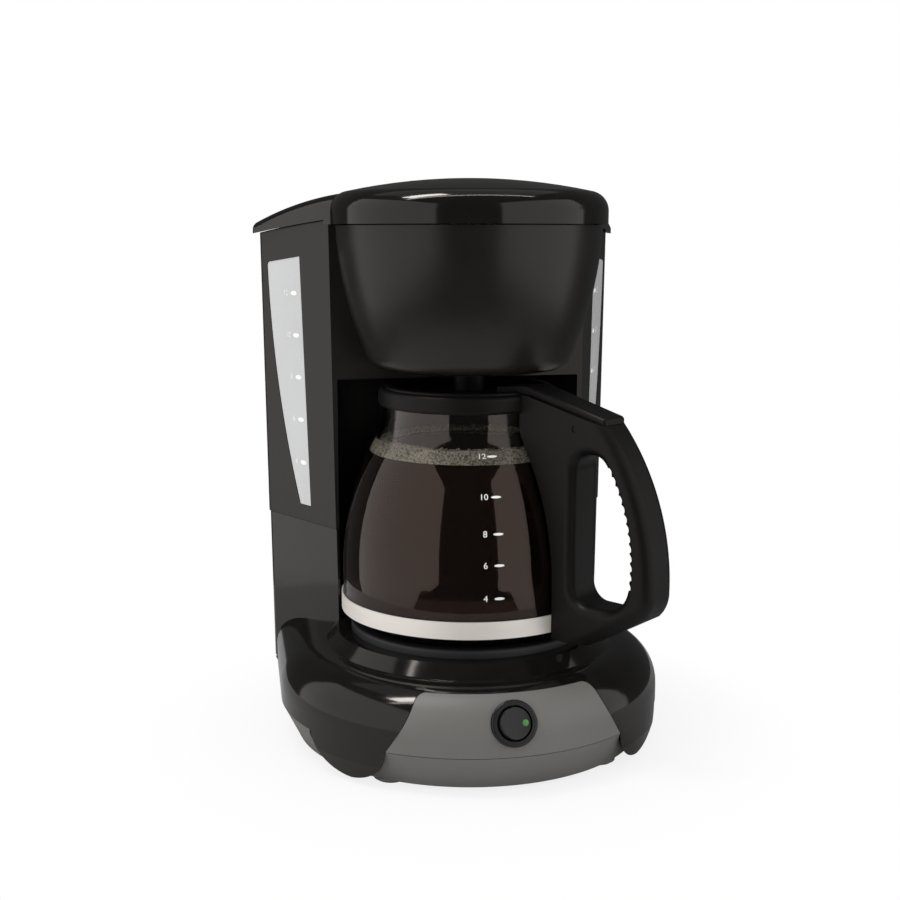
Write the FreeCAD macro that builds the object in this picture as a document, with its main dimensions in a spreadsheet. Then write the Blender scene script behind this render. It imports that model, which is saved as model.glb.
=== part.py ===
import FreeCAD, Part
import Sketcher
import math
import os

# A drip coffee maker: a round base with a warming plate, a tower that holds the water, a brew head
# with a filter basket under one hinged lid, and a glass carafe. Millimetres, +Z up, front towards -Y.
# Every piece is drawn about the carafe's own upright axis and then placed at that axis in the frame.

doc = FreeCAD.newDocument("drip_coffee_maker")
sheet = doc.addObject("Spreadsheet::Sheet", "sheet")

DRIVING_SIZES = {
    # place of the carafe's axis, so that the whole machine is centred on the origin
    "axis_y": -2.275,
    # tower plan at the seam between the lower and the upper housing
    "tower_front_half": 74.0,
    "tower_front_y": 25.0,
    "wall_turn": 28.0,
    "tower_corner_y": 95.0,
    "back_bow": 19.0,
    "corner_round": 9.0,
    "side_flare": 0.0125,
    "seam_z": 116.0,
    "seam_gap": 0.4,
    "upper_step": 0.6,
    "wall": 2.8,
    "alcove_room": 3.5,
    # base drum, deck and platform
    "drum_radius": 110.0,
    "drum_low_z": 22.0,
    "drum_back_half": 105.5,
    "drum_back_y": 90.0,
    "deck_z": 55.0,
    "shoulder_round": 24.0,
    "platform_foot_radius": 83.0,
    "platform_top_radius": 77.0,
    "platform_top_z": 62.0,
    # warming plate and heater
    "plate_radius": 68.5,
    "plate_top_z": 66.5,
    "plate_dish": 1.2,
    "plate_wall": 2.0,
    "plate_fit": 0.3,
    "heater_ring_radius": 44.0,
    "heater_tube_radius": 5.5,
    "heater_open_turn": 80.0,
    "pipe_radius": 5.2,
    "pipe_bore_radius": 3.2,
    "pipe_low_z": 38.0,
    "pipe_back_y": 96.0,
    # base pan and feet
    "pan_low_z": 2.5,
    "pan_taper": 9.5,
    "pan_floor": 2.5,
    "pan_back_bow": 21.0,
    "foot_x": 58.0,
    "foot_front_y": -70.0,
    "foot_rear_x": 74.0,
    "foot_rear_y": 78.0,
    "foot_radius": 8.0,
    "foot_sunk": 1.2,
    # front panel and the tongues beside it
    "panel_low_half": 64.5,
    "panel_top_half": 47.0,
    "panel_top_z": 52.5,
    "panel_corner": 9.0,
    "panel_thick": 2.5,
    "panel_gap": 0.3,
    "tongue_outer_half": 99.0,
    "tongue_low_half": 80.0,
    "tongue_low_z": 2.8,
    # round rocker switch
    "switch_z": 39.7,
    "bezel_radius": 12.2,
    "bezel_seat": 1.3,
    "bezel_proud": 1.0,
    "barrel_radius": 10.2,
    "barrel_depth": 17.0,
    "rocker_radius": 9.0,
    "rocker_gap": 0.35,
    "rocker_tilt": 9.0,
    "rocker_pivot_depth": 2.4,
    "lens_radius": 1.7,
    "lens_x": 5.2,
    # brew head
    "head_low_z": 213.0,
    "head_low_radius": 48.0,
    "head_knee_radius": 58.5,
    "head_knee_z": 220.5,
    "head_top_radius": 75.0,
    "head_drop": 9.5,
    "head_belly_radius": 211.0,
    "head_floor_hole": 22.0,
    "bridge_z": 205.0,
    "ledge_drop": 5.0,
    # top edge of the tower and the lid
    "arch_apex_z": 302.5,
    "arch_radius": 460.0,
    "lid_gap": 0.6,
    "lobe_overhang": 3.0,
    "lid_waist_y": 17.6,
    "lid_tip_half": 117.5,
    "lid_tip_y": 96.0,
    "lid_back_bow": 20.0,
    "lid_tip_round": 7.0,
    "lid_rise": 16.5,
    "lid_apex_y": 20.0,
    "lid_dome_radius": 430.0,
    "lid_edge_round": 5.0,
    "lobe_step": 2.4,
    "lobe_crown_radius": 330.0,
    "lobe_edge_round": 11.0,
    "lid_wall": 2.4,
    # lid hinge
    "hinge_y": 119.0,
    "hinge_drop": 2.5,
    "hinge_pin_radius": 1.6,
    "hinge_pin_fit": 0.06,
    "knuckle_radius": 3.9,
    "knuckle_x": 32.0,
    "knuckle_half": 5.0,
    "ear_half": 3.0,
    "hinge_side_gap": 0.4,
    # water windows
    "window_drop": 30.5,
    "window_rise": 3.5,
    "window_low_z": 126.0,
    "window_front_top": 31.0,
    "window_front_low": 25.5,
    "window_rear_top": 66.0,
    "window_rear_low": 37.0,
    "window_rear_bow": 450.0,
    "window_gap": 0.2,
    # water tank
    "tank_gap": 0.4,
    "tank_wall": 1.8,
    "tank_drop": 18.5,
    # filter basket and drip stop
    "basket_gap": 0.4,
    "basket_wall": 1.8,
    "basket_rim_wide": 2.2,
    "valve_stem_radius": 3.0,
    "valve_stem_fit": 0.08,
    "valve_low_z": 210.2,
    "valve_drop": 3.5,
    "valve_head_radius": 8.0,
    "valve_head_thick": 2.4,
    "spring_radius": 5.2,
    "spring_wire": 0.45,
    "spring_rise": 8.0,
    "spring_turns": 4.0,
    # spray arm above the basket
    "riser_y": 97.0,
    "riser_radius": 5.5,
    "spray_rise": 5.0,
    "spray_radius": 17.0,
    "spray_thick": 7.0,
    "spray_holes": 8.0,
    # carafe glass
    "glass_radius": 73.0,
    "glass_wall": 2.2,
    "glass_low_z": 66.8,
    "glass_foot_bend": 15.0,
    "glass_side_low_z": 81.0,
    "glass_side_top_z": 100.0,
    "glass_shoulder_radius": 147.0,
    "glass_slope": 30.0,
    "glass_neck_bend": 31.0,
    "glass_rim_z": 197.0,
    # carafe band, collar, handle and lid
    "band_low_z": 74.2,
    "band_top_z": 83.8,
    "band_gap": 0.3,
    "band_thick": 0.7,
    "collar_low_z": 192.0,
    "collar_top_z": 202.0,
    "collar_draw": 21.4,
    "collar_gap": 0.25,
    "handle_turn": -56.0,
    "handle_half": 12.0,
    "handle_gap": 0.3,
    "handle_out": 63.3,
    "handle_low_z": 70.0,
    "handle_edge_round": 6.5,
    "hole_edge_round": 5.0,
    "hole_out": 13.0,
    "grip_out": 49.5,
    "grip_bend": 94.0,
    "scallop_radius": 2.4,
    "scallop_count": 13.0,
    "lever_out": 32.0,
    "lever_pin_out": 14.4,
    "lever_pin_z": 187.2,
    "lever_pin_radius": 1.8,
    "lever_ear_half": 5.0,
    "carafe_lid_draw": 25.0,
    "carafe_lid_boss_radius": 9.0,
    "carafe_lid_top_z": 209.9,
    # how far the carafe's fittings stand out from the jug's radius, or draw in from it
    "tab_out": 19.0,
    "screw_out": 12.0,
    "spout_draw": 10.0,
    "lever_root_draw": 43.0,
    "lever_bend_draw": 19.0,
    "root_draw": 27.0,
    "heel_out": 22.4,
    "toe_out": 58.0,
    "outer_out": 7.0,
}
FOLLOWING_SIZES = {
    # levels that go with the tower's top edge
    "head_top_z": "arch_apex_z - head_drop",
    "basket_ledge_z": "head_top_z - ledge_drop",
    "spray_z": "head_top_z + spray_rise",
    "lid_apex_z": "arch_apex_z + lid_rise",
    "hinge_z": "arch_apex_z - hinge_drop",
    "window_top_z": "arch_apex_z - window_drop",
    "tank_top_z": "arch_apex_z - tank_drop",
    # radius that goes with the brew head
    "lid_lobe_radius": "head_top_radius + lobe_overhang",
    # radii and reaches that go with the jug
    "alcove_radius": "glass_radius + alcove_room",
    "glass_foot_radius": "glass_radius - glass_foot_bend",
    "collar_radius": "glass_radius - collar_draw",
    "carafe_lid_radius": "glass_radius - carafe_lid_draw",
    "handle_reach": "glass_radius + handle_out",
    "hole_inner": "glass_radius + hole_out",
    "grip_inner": "glass_radius + grip_out",
    "lever_reach": "glass_radius + lever_out",
    "lever_pin_reach": "glass_radius + lever_pin_out",
    "tab_reach": "glass_radius + tab_out",
    "screw_reach": "glass_radius + screw_out",
    "spout_reach": "glass_radius - spout_draw",
    "lever_from": "glass_radius - lever_root_draw",
    "lever_bend_reach": "glass_radius - lever_bend_draw",
    "root_reach": "glass_radius - root_draw",
    "heel_reach": "glass_radius + heel_out",
    "toe_reach": "glass_radius + toe_out",
    "outer_from": "glass_radius + outer_out",
}
table = {**DRIVING_SIZES, **{alias: f"={formula}" for alias, formula in FOLLOWING_SIZES.items()}}
for row, (alias, amount) in enumerate(table.items(), start=1):
    sheet.set(f"A{row}", alias)
    sheet.set(f"B{row}", str(amount))
    sheet.setAlias(f"B{row}", alias)
doc.recompute()


class Size:
    """A length with its number and the formula that ties a property to the sheet."""

    def __init__(self, value, formula):
        self.value = value
        self.formula = formula

    def __add__(self, other):
        return combine(self, "+", other)

    def __radd__(self, other):
        return combine(other, "+", self)

    def __sub__(self, other):
        return combine(self, "-", other)

    def __rsub__(self, other):
        return combine(other, "-", self)

    def __mul__(self, other):
        return combine(self, "*", other)

    def __rmul__(self, other):
        return combine(other, "*", self)

    def __truediv__(self, other):
        return combine(self, "/", other)

    def __rtruediv__(self, other):
        return combine(other, "/", self)

    def __neg__(self):
        return combine(0, "-", self)


def as_size(amount):
    if isinstance(amount, Size):
        return amount
    return Size(float(amount), f"({float(amount)!r})")


def combine(left, sign, right):
    left = as_size(left)
    right = as_size(right)
    results = {
        "+": lambda: left.value + right.value,
        "-": lambda: left.value - right.value,
        "*": lambda: left.value * right.value,
        "/": lambda: left.value / right.value,
    }
    return Size(results[sign](), f"({left.formula} {sign} {right.formula})")


def root(amount):
    return Size(math.sqrt(amount.value), f"sqrt({amount.formula})")


def sine(angle):
    return Size(math.sin(math.radians(angle.value)), f"sin({angle.formula})")


def cosine(angle):
    return Size(math.cos(math.radians(angle.value)), f"cos({angle.formula})")


def tangent(angle):
    return Size(math.tan(math.radians(angle.value)), f"tan({angle.formula})")


class NamedSizes:
    """Reads a driving size by its alias: dim.wall is the sheet's wall."""

    def __getattr__(self, alias):
        return Size(float(sheet.get(alias)), f"sheet.{alias}")


dim = NamedSizes()
pieces = []


def bind(thing, place, amount):
    thing.setExpression(place, as_size(amount).formula)


def at_axis(thing):
    bind(thing, "Placement.Base.y", dim.axis_y)
    return thing


def keep(thing, label):
    """Marks a finished sub-part: it stands on the carafe's axis and is written under its label."""
    thing.Label = label
    at_axis(thing)
    pieces.append(thing)
    return thing


def new_body(name):
    return doc.addObject("PartDesign::Body", name)


def arc_between(start, end, radius):
    """Arc of under a half circle, counterclockwise from start to end when the radius is positive."""
    half = (end - start) * 0.5
    away = math.sqrt(max(radius * radius - half.Length ** 2, 0.0))
    side = FreeCAD.Vector(-half.y, half.x, 0).normalize()
    middle = start + half + side * (away if radius > 0 else -away)
    circle = Part.Circle(middle, FreeCAD.Vector(0, 0, 1), abs(radius))
    first, last = (start, end) if radius > 0 else (end, start)
    begin = math.atan2(first.y - middle.y, first.x - middle.x)
    finish = math.atan2(last.y - middle.y, last.x - middle.x)
    return Part.ArcOfCircle(circle, begin, finish)


def new_sketch(body, role, lift, across=0):
    drawing = body.newObject("Sketcher::SketchObject", "outline")
    plane = next(f for f in body.Origin.OriginFeatures if f.Role == role)
    drawing.AttachmentSupport = (plane, [""])
    drawing.MapMode = "FlatFace"
    bind(drawing, "AttachmentOffset.Base.x", across)
    bind(drawing, "AttachmentOffset.Base.z", lift)
    return drawing


def hold(drawing, kind, places, amount):
    amount = as_size(amount)
    index = drawing.addConstraint(Sketcher.Constraint(kind, *places, amount.value))
    drawing.setExpression(f"Constraints[{index}]", amount.formula)


def draw(body, role, path, lift=0, across=0):
    """Closed outline. A point's third value bends the run that leaves it into an arc of that radius."""
    drawing = new_sketch(body, role, lift, across)
    spots = [FreeCAD.Vector(as_size(p[0]).value, as_size(p[1]).value, 0) for p in path]
    starts = []
    for index, point in enumerate(path):
        begin, finish = spots[index], spots[(index + 1) % len(path)]
        bend = as_size(point[2]).value if len(point) == 3 else 0
        drawing.addGeometry(arc_between(begin, finish, bend) if bend else Part.LineSegment(begin, finish))
        starts.append(2 if bend < 0 else 1)
    for index, point in enumerate(path):
        after = (index + 1) % len(path)
        drawing.addConstraint(
            Sketcher.Constraint("Coincident", index, 3 - starts[index], after, starts[after]))
        hold(drawing, "DistanceX", (-1, 1, index, starts[index]), point[0])
        hold(drawing, "DistanceY", (-1, 1, index, starts[index]), point[1])
        if len(point) == 3:
            bend = as_size(point[2])
            hold(drawing, "Radius", (index,), bend if bend.value > 0 else -bend)
    return drawing


def draw_circles(body, role, circles, lift=0, across=0):
    drawing = new_sketch(body, role, lift, across)
    for index, (x, y, radius) in enumerate(circles):
        middle = FreeCAD.Vector(as_size(x).value, as_size(y).value, 0)
        drawing.addGeometry(Part.Circle(middle, FreeCAD.Vector(0, 0, 1), as_size(radius).value))
        hold(drawing, "DistanceX", (-1, 1, index, 3), x)
        hold(drawing, "DistanceY", (-1, 1, index, 3), y)
        hold(drawing, "Radius", (index,), radius)
    return drawing


def extrude(body, kind, drawing, length, backwards=False, both_ways=False):
    feature = body.newObject(f"PartDesign::{kind}", kind.lower())
    feature.Profile = drawing
    feature.Reversed = backwards
    feature.SideType = "Symmetric" if both_ways else "One side"
    bind(feature, "Length", length)
    doc.recompute()
    return feature


def pad(body, drawing, length, **how):
    return extrude(body, "Pad", drawing, length, **how)


def pocket(body, drawing, length, **how):
    before = body.Shape.Volume
    feature = extrude(body, "Pocket", drawing, length, **how)
    if body.Shape.Volume > before - 1e-3:
        raise RuntimeError(f"a pocket of {body.Name} cuts nothing")
    return feature


def revolve(body, kind, drawing, axis="V_Axis", angle=360):
    feature = body.newObject(f"PartDesign::{kind}", kind.lower())
    feature.Profile = drawing
    feature.ReferenceAxis = (drawing, [axis])
    bind(feature, "Angle", angle)
    doc.recompute()
    return feature


def turn(body, drawing, **how):
    return revolve(body, "Revolution", drawing, **how)


def turn_away(body, drawing, **how):
    before = body.Shape.Volume
    feature = revolve(body, "Groove", drawing, **how)
    if body.Shape.Volume > before - 1e-3:
        raise RuntimeError(f"a groove of {body.Name} cuts nothing")
    return feature


def loft(body, kind, lower, upper):
    feature = body.newObject(f"PartDesign::{kind}Loft", "loft")
    feature.Profile = lower
    feature.Sections = [upper]
    feature.Ruled = True
    doc.recompute()
    return feature


def round_edges(body, radius, chosen):
    """Rounds the edges of the body so far that the test picks."""
    base = body.Tip
    names = [f"Edge{n}" for n, edge in enumerate(base.Shape.Edges, start=1) if chosen(edge)]
    feature = body.newObject("PartDesign::Fillet", "rounding")
    feature.Base = (base, names)
    bind(feature, "Radius", radius)
    doc.recompute()
    return feature


def middle_of(edge):
    return edge.valueAt((edge.FirstParameter + edge.LastParameter) / 2)


def boolean(kind, name, base, tool):
    thing = doc.addObject(f"Part::{kind}", name)
    thing.Base = base
    thing.Tool = tool
    doc.recompute()
    return thing


def cut(name, base, tool):
    return boolean("Cut", name, base, tool)


def fuse(name, base, tool):
    return boolean("Fuse", name, base, tool)


def common(name, base, tool):
    return boolean("Common", name, base, tool)


def cylinder(name, radius, height, x=0, y=0, z=0):
    thing = doc.addObject("Part::Cylinder", name)
    bind(thing, "Radius", radius)
    bind(thing, "Height", height)
    bind(thing, "Placement.Base.x", x)
    bind(thing, "Placement.Base.y", y)
    bind(thing, "Placement.Base.z", z)
    return thing


def box(name, low, high):
    thing = doc.addObject("Part::Box", name)
    for side, base, first, last in zip(("Length", "Width", "Height"), "xyz", low, high):
        bind(thing, side, as_size(last) - first)
        bind(thing, f"Placement.Base.{base}", first)
    return thing


# Tower plan: a wide bowed back and two straight walls that close in towards the front


def bowed_back(start_x, start_y, corner_x, corner_y, rise, trim):
    """Rear half of a plan: right side, rounded corner, bowed back and the other rounded corner."""
    bow = (corner_x * corner_x + rise * rise) / (2 * rise)
    run_x = corner_x - start_x
    run_y = corner_y - start_y
    side_long = root(run_x * run_x + run_y * run_y)
    side_x = corner_x - run_x / side_long * trim
    side_y = corner_y - run_y / side_long * trim
    rear_x = corner_x - (bow - rise) / bow * trim
    rear_y = corner_y + corner_x / bow * trim
    return [(side_x, side_y, trim), (rear_x, rear_y, bow), (-rear_x, rear_y, trim), (-side_x, side_y)]


def tower_path(height, inset):
    """Plan of the tower at a height, drawn in by an inset on every side."""
    flare = (height - dim.seam_z) * dim.side_flare
    turned = dim.wall_turn / 2
    corner_half = dim.tower_front_half + (dim.tower_corner_y - dim.tower_front_y) * tangent(dim.wall_turn)
    front = dim.tower_front_half + flare - inset * tangent(45 - turned)
    back = corner_half + flare - inset * tangent(45 + turned)
    front_y = dim.tower_front_y + inset
    back_y = dim.tower_corner_y - inset
    rear = bowed_back(front, front_y, back, back_y, dim.back_bow, dim.corner_round - inset)
    return [(-front, front_y), (front, front_y), *rear]


def tower_solid(name, low, high, inset):
    body = new_body(name)
    lower = draw(body, "XY_Plane", tower_path(low, inset), lift=low)
    upper = draw(body, "XY_Plane", tower_path(high, inset), lift=high)
    loft(body, "Additive", lower, upper)
    return body


def crescent(name, low, high, inset, ring_radius):
    """The tower's inside: its plan drawn in, less the round alcove with its wall."""
    body = tower_solid(name, low, high, inset)
    pocket(body, draw_circles(body, "XY_Plane", [(0, 0, ring_radius)], lift=high), high - low)
    return body


# Lower housing: the round base drum with its deck and platform, and the lower half of the tower


def round_front(radius, back, behind):
    """Where straight sides from two back corners touch the round front without a kink."""
    far = back * back + behind * behind
    side = root(far - radius * radius)
    touch_x = (radius * radius * back + radius * side * behind) / far
    touch_y = (radius * radius * behind - radius * side * back) / far
    return [(-touch_x, touch_y, radius), (0, -radius, radius), (touch_x, touch_y)]


def drum_path(inset):
    back = dim.drum_back_half - inset
    return [*round_front(dim.drum_radius - inset, back, dim.drum_back_y),
            (back, dim.drum_back_y), (-back, dim.drum_back_y)]


def shoulder_points(inset):
    """Half section of the drum's rounded shoulder, from the straight side up to the deck."""
    knee_z = dim.deck_z - dim.shoulder_round
    bend = dim.shoulder_round - inset
    return [(dim.drum_radius - inset, knee_z, bend),
            (dim.drum_radius - dim.shoulder_round, dim.deck_z - inset)]


def compound(name, members):
    thing = doc.addObject("Part::Compound", name)
    thing.Links = members
    doc.recompute()
    return thing


def mirrored(name, source):
    thing = doc.addObject("Part::Mirroring", name)
    thing.Source = source
    thing.Normal = FreeCAD.Vector(1, 0, 0)
    doc.recompute()
    return thing


BOSS_PLACES = [(-66, -50), (66, -50), (-70, 22), (70, 22)]
BOSS_RADIUS = 4.5
SCREW_RADIUS = 1.7
SCREW_HEAD_RADIUS = 3.4
SCREW_HEAD_THICK = 2.0
SCREW_SUNK = 1.2
SCREW_PLAY = 0.2
SCREW_FIT = 0.05
LEDGE_WIDE = 6.0
LEDGE_DROP = 3.0

drum = new_body("drum")
pad(drum, draw(drum, "XY_Plane", drum_path(0), lift=dim.drum_low_z), dim.deck_z - dim.drum_low_z)
round_edges(drum, dim.shoulder_round,
            lambda edge: middle_of(edge).z > dim.deck_z.value - 1e-3
            and middle_of(edge).y < dim.drum_back_y.value - 1)
column = tower_solid("column", dim.drum_low_z, dim.seam_z, 0)
alcove = cylinder("alcove", dim.alcove_radius, dim.seam_z, 0, 0, dim.deck_z)
platform = new_body("platform")
turn(platform, draw(platform, "XZ_Plane", [
    (0, dim.deck_z - 1),
    (dim.platform_foot_radius, dim.deck_z - 1),
    (dim.platform_foot_radius, dim.deck_z),
    (dim.platform_top_radius, dim.platform_top_z),
    (0, dim.platform_top_z)]))
under = dim.drum_low_z - 1
drum_inside = new_body("drum_inside")
turn(drum_inside, draw(drum_inside, "XZ_Plane", [
    (0, under), (dim.drum_radius - dim.wall, under), *shoulder_points(dim.wall), (0, dim.deck_z - dim.wall)]))
drum_plan = new_body("drum_plan")
pad(drum_plan, draw(drum_plan, "XY_Plane", drum_path(dim.wall), lift=under), dim.deck_z - under)
drum_hollow = common("drum_hollow", drum_inside, drum_plan)
well_radius = dim.plate_radius + dim.plate_fit
well = cylinder("well", well_radius, 20, 0, 0, dim.platform_top_z - LEDGE_DROP)
well_through = cylinder("well_through", well_radius - LEDGE_WIDE, 40, 0, 0, dim.deck_z - 20)
boss_low = dim.pan_low_z + dim.pan_floor
boss_long = dim.deck_z - dim.wall / 2 - boss_low
bosses = compound("bosses", [cylinder(f"boss_{n}", BOSS_RADIUS, boss_long, x, y, boss_low)
                             for n, (x, y) in enumerate(BOSS_PLACES)])
bore_long = dim.drum_low_z - boss_low
boss_bores = compound("boss_bores", [cylinder(f"boss_bore_{n}", SCREW_RADIUS, bore_long, x, y, boss_low)
                                     for n, (x, y) in enumerate(BOSS_PLACES)])

alcove_outer = dim.alcove_radius + dim.wall
tower_inside = crescent("tower_inside", under - 2, dim.seam_z - dim.wall, dim.wall, alcove_outer)


def front_prism(name, path, deep):
    """Solid with a front-view outline, reaching from ahead of the drum back by a depth."""
    body = new_body(name)
    pad(body, draw(body, "XZ_Plane", path, lift=dim.drum_radius + 5 - deep), deep)
    return body


PANEL_DEEP = 45.0


def panel_prism(name, low, gap):
    """Front-view shape of the panel: upright trapezoid with two round upper corners."""
    lean = (dim.panel_low_half - dim.panel_top_half) / (dim.panel_top_z - dim.drum_low_z)
    low_half = dim.panel_low_half + (dim.drum_low_z - low) * lean - gap
    top_half = dim.panel_top_half - gap
    top = dim.panel_top_z - gap
    corners = [(-low_half, low), (low_half, low), (top_half, top), (-top_half, top)]
    body = front_prism(name, corners, PANEL_DEEP)
    round_edges(body, dim.panel_corner - gap,
                lambda edge: middle_of(edge).z > top.value - 1e-3 and abs(middle_of(edge).x) > 1)
    return body


def pan_radius(height):
    """Radius of the base pan's leaning side at a height."""
    full = dim.drum_radius - dim.panel_gap
    rise = dim.drum_low_z - dim.seam_gap - dim.pan_low_z
    return full - dim.pan_taper * (dim.drum_low_z - dim.seam_gap - height) / rise


def tongue_prism(name, gap):
    """Front-view shape of the right-hand tongue, a U that hangs beside the panel."""
    top = dim.drum_low_z + 3
    inner = dim.panel_low_half - gap
    outer = dim.tongue_outer_half + gap
    low = dim.tongue_low_z - gap
    return front_prism(name, [
        (inner, top), (inner, dim.drum_low_z, 18), (dim.tongue_low_half, low, 20.5),
        (outer, dim.drum_low_z), (outer, top)], 90)


TONGUE_THICK = 3.5
tongue_inner = dim.drum_radius - TONGUE_THICK
tongue_knee_z = dim.drum_low_z - 8
tongue_ring = new_body("tongue_ring")
turn(tongue_ring, draw(tongue_ring, "XZ_Plane", [
    (pan_radius(dim.tongue_low_z) + dim.panel_gap, dim.tongue_low_z),
    (dim.drum_radius - 2.2, dim.tongue_low_z),
    (dim.drum_radius, dim.tongue_low_z + 10),
    (dim.drum_radius, dim.drum_low_z + 3),
    (tongue_inner, dim.drum_low_z + 3),
    (tongue_inner, tongue_knee_z)]))
tongue_right = common("tongue_right", tongue_ring, tongue_prism("tongue_shape", 0))
tongue_left = mirrored("tongue_left", tongue_right)

GROMMET_Z = 40.0
GROMMET_NECK = 7.6
GROMMET_FLANGE = 9.5
GROMMET_BORE = 4.0
back_y = dim.tower_corner_y + dim.back_bow
grommet_hole = cylinder("grommet_hole", GROMMET_NECK + 0.2, 20, 0, back_y - 12, GROMMET_Z)
grommet_hole.Placement.Rotation = FreeCAD.Rotation(FreeCAD.Vector(1, 0, 0), -90)

INLET_X = -26.0
pipe_clear = dim.pipe_radius + 0.4
roof_holes = compound("roof_holes", [
    cylinder("inlet_roof_hole", pipe_clear, 20, INLET_X, dim.pipe_back_y, dim.seam_z - 10),
    cylinder("riser_roof_hole", pipe_clear, 20, 0, dim.riser_y, dim.seam_z - 10)])

lower = fuse("lower_outside", drum, column)
lower = cut("lower_alcove", lower, alcove)
lower = fuse("lower_platform", lower, platform)
lower = cut("lower_hollow", lower, drum_hollow)
lower = cut("lower_tower_hollow", lower, tower_inside)
lower = cut("lower_well", lower, well)
lower = cut("lower_well_through", lower, well_through)
lower = fuse("lower_bosses", lower, bosses)
lower = cut("lower_boss_bores", lower, boss_bores)
lower = cut("lower_panel_opening", lower, panel_prism("panel_opening", under, 0))
lower = cut("lower_grommet_hole", lower, grommet_hole)
lower = cut("lower_roof_holes", lower, roof_holes)
lower = fuse("lower_one_tongue", lower, tongue_right)
keep(fuse("lower_two_tongues", lower, tongue_left), "lower_housing")

# Base pan: a grey tray with leaning sides that closes the drum from below


def pan_path(inset):
    """Plan of the pan: round front, straight sides, two rounded back corners and a bowed back."""
    back = dim.drum_back_half - inset
    behind = dim.drum_back_y - inset / 2
    front = round_front(dim.drum_radius - dim.panel_gap - inset, back, behind)
    return [*front, *bowed_back(*front[-1], back, behind, dim.pan_back_bow, dim.corner_round)]


FOOT_LOBE_RADIUS = 9.5
FOOT_LOBE_LOW = 1.0
FOOT_FIT = 0.1
FOOT_PLACES = [(-1, dim.foot_x, dim.foot_front_y), (1, dim.foot_x, dim.foot_front_y),
               (-1, dim.foot_rear_x, dim.foot_rear_y), (1, dim.foot_rear_x, dim.foot_rear_y)]
pan_top = dim.drum_low_z - dim.seam_gap
pan = new_body("pan_solid")
loft(pan, "Additive",
     draw(pan, "XY_Plane", pan_path(dim.pan_taper), lift=dim.pan_low_z),
     draw(pan, "XY_Plane", pan_path(0), lift=pan_top))
floor_rise = (pan_top - dim.pan_low_z - dim.pan_floor) / (pan_top - dim.pan_low_z)
loft(pan, "Subtractive",
     draw(pan, "XY_Plane", pan_path(dim.pan_taper * floor_rise + dim.wall), lift=boss_low),
     draw(pan, "XY_Plane", pan_path(dim.wall), lift=pan_top))
pad(pan, draw_circles(pan, "XY_Plane", [(side * x, y, FOOT_LOBE_RADIUS) for side, x, y in FOOT_PLACES],
                      lift=FOOT_LOBE_LOW), dim.pan_low_z - FOOT_LOBE_LOW)
pad(pan, draw_circles(pan, "XY_Plane", [(side * x * 0.85, y * 0.85, FOOT_LOBE_RADIUS - 2)
                                        for side, x, y in FOOT_PLACES], lift=FOOT_LOBE_LOW),
    dim.pan_low_z + 1 - FOOT_LOBE_LOW)
foot_cups = [(side * x, y, dim.foot_radius + FOOT_FIT) for side, x, y in FOOT_PLACES]
pocket(pan, draw_circles(pan, "XY_Plane", foot_cups, lift=FOOT_LOBE_LOW), dim.foot_sunk / 2, backwards=True)
head_cups = [(x, y, SCREW_HEAD_RADIUS + SCREW_PLAY) for x, y in BOSS_PLACES]
shank_holes = [(x, y, SCREW_RADIUS + SCREW_PLAY) for x, y in BOSS_PLACES]
pocket(pan, draw_circles(pan, "XY_Plane", head_cups, lift=dim.pan_low_z), SCREW_SUNK, backwards=True)
pocket(pan, draw_circles(pan, "XY_Plane", shank_holes, lift=dim.pan_low_z), dim.pan_floor + 1, backwards=True)
VENT_COUNT = 7
VENT_STEP = 9.0
VENT_HALF_LONG = 17.0
VENT_HALF_WIDE = 1.5
for n in range(VENT_COUNT):
    middle = (n - VENT_COUNT // 2) * VENT_STEP
    left = middle - VENT_HALF_WIDE
    right = middle + VENT_HALF_WIDE
    pocket(pan, draw(pan, "XY_Plane", [
        (left, -VENT_HALF_LONG), (right, -VENT_HALF_LONG), (right, VENT_HALF_LONG), (left, VENT_HALF_LONG)],
        lift=dim.pan_low_z), dim.pan_floor + 1, backwards=True)
notch_ring = new_body("notch_ring")
turn(notch_ring, draw(notch_ring, "XZ_Plane", [
    (tongue_inner - dim.panel_gap, dim.pan_low_z), (dim.drum_radius + 2, dim.pan_low_z),
    (dim.drum_radius + 2, dim.drum_low_z + 2), (tongue_inner - dim.panel_gap, dim.drum_low_z + 2)]))
notch_right = common("notch_right", notch_ring, tongue_prism("notch_shape", dim.panel_gap))
pan_notched = cut("pan_notched", pan, notch_right)
keep(cut("pan_notched_twice", pan_notched, mirrored("notch_left", notch_right)), "base_pan")

feet = [cylinder(f"foot_{n}", dim.foot_radius, FOOT_LOBE_LOW + dim.foot_sunk / 2, side * x, y, 0)
        for n, (side, x, y) in enumerate(FOOT_PLACES)]
keep(compound("feet", feet), "rubber_feet")


def pan_screw(name, x, y):
    body = new_body(name)
    head_top = dim.pan_low_z + SCREW_SUNK
    head_low = head_top - SCREW_HEAD_THICK / 2
    shank = SCREW_RADIUS - SCREW_FIT
    turn(body, draw(body, "XZ_Plane", [
        (0, head_low), (SCREW_HEAD_RADIUS, head_low), (SCREW_HEAD_RADIUS, head_top),
        (shank, head_top), (shank, dim.drum_low_z - 4), (0, dim.drum_low_z - 2)]))
    body.Placement = FreeCAD.Placement(FreeCAD.Vector(x, y, 0), FreeCAD.Rotation())
    return body


screws = [pan_screw(f"screw_{n}", x, y) for n, (x, y) in enumerate(BOSS_PLACES)]
keep(compound("screws", screws), "base_screws")

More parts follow.
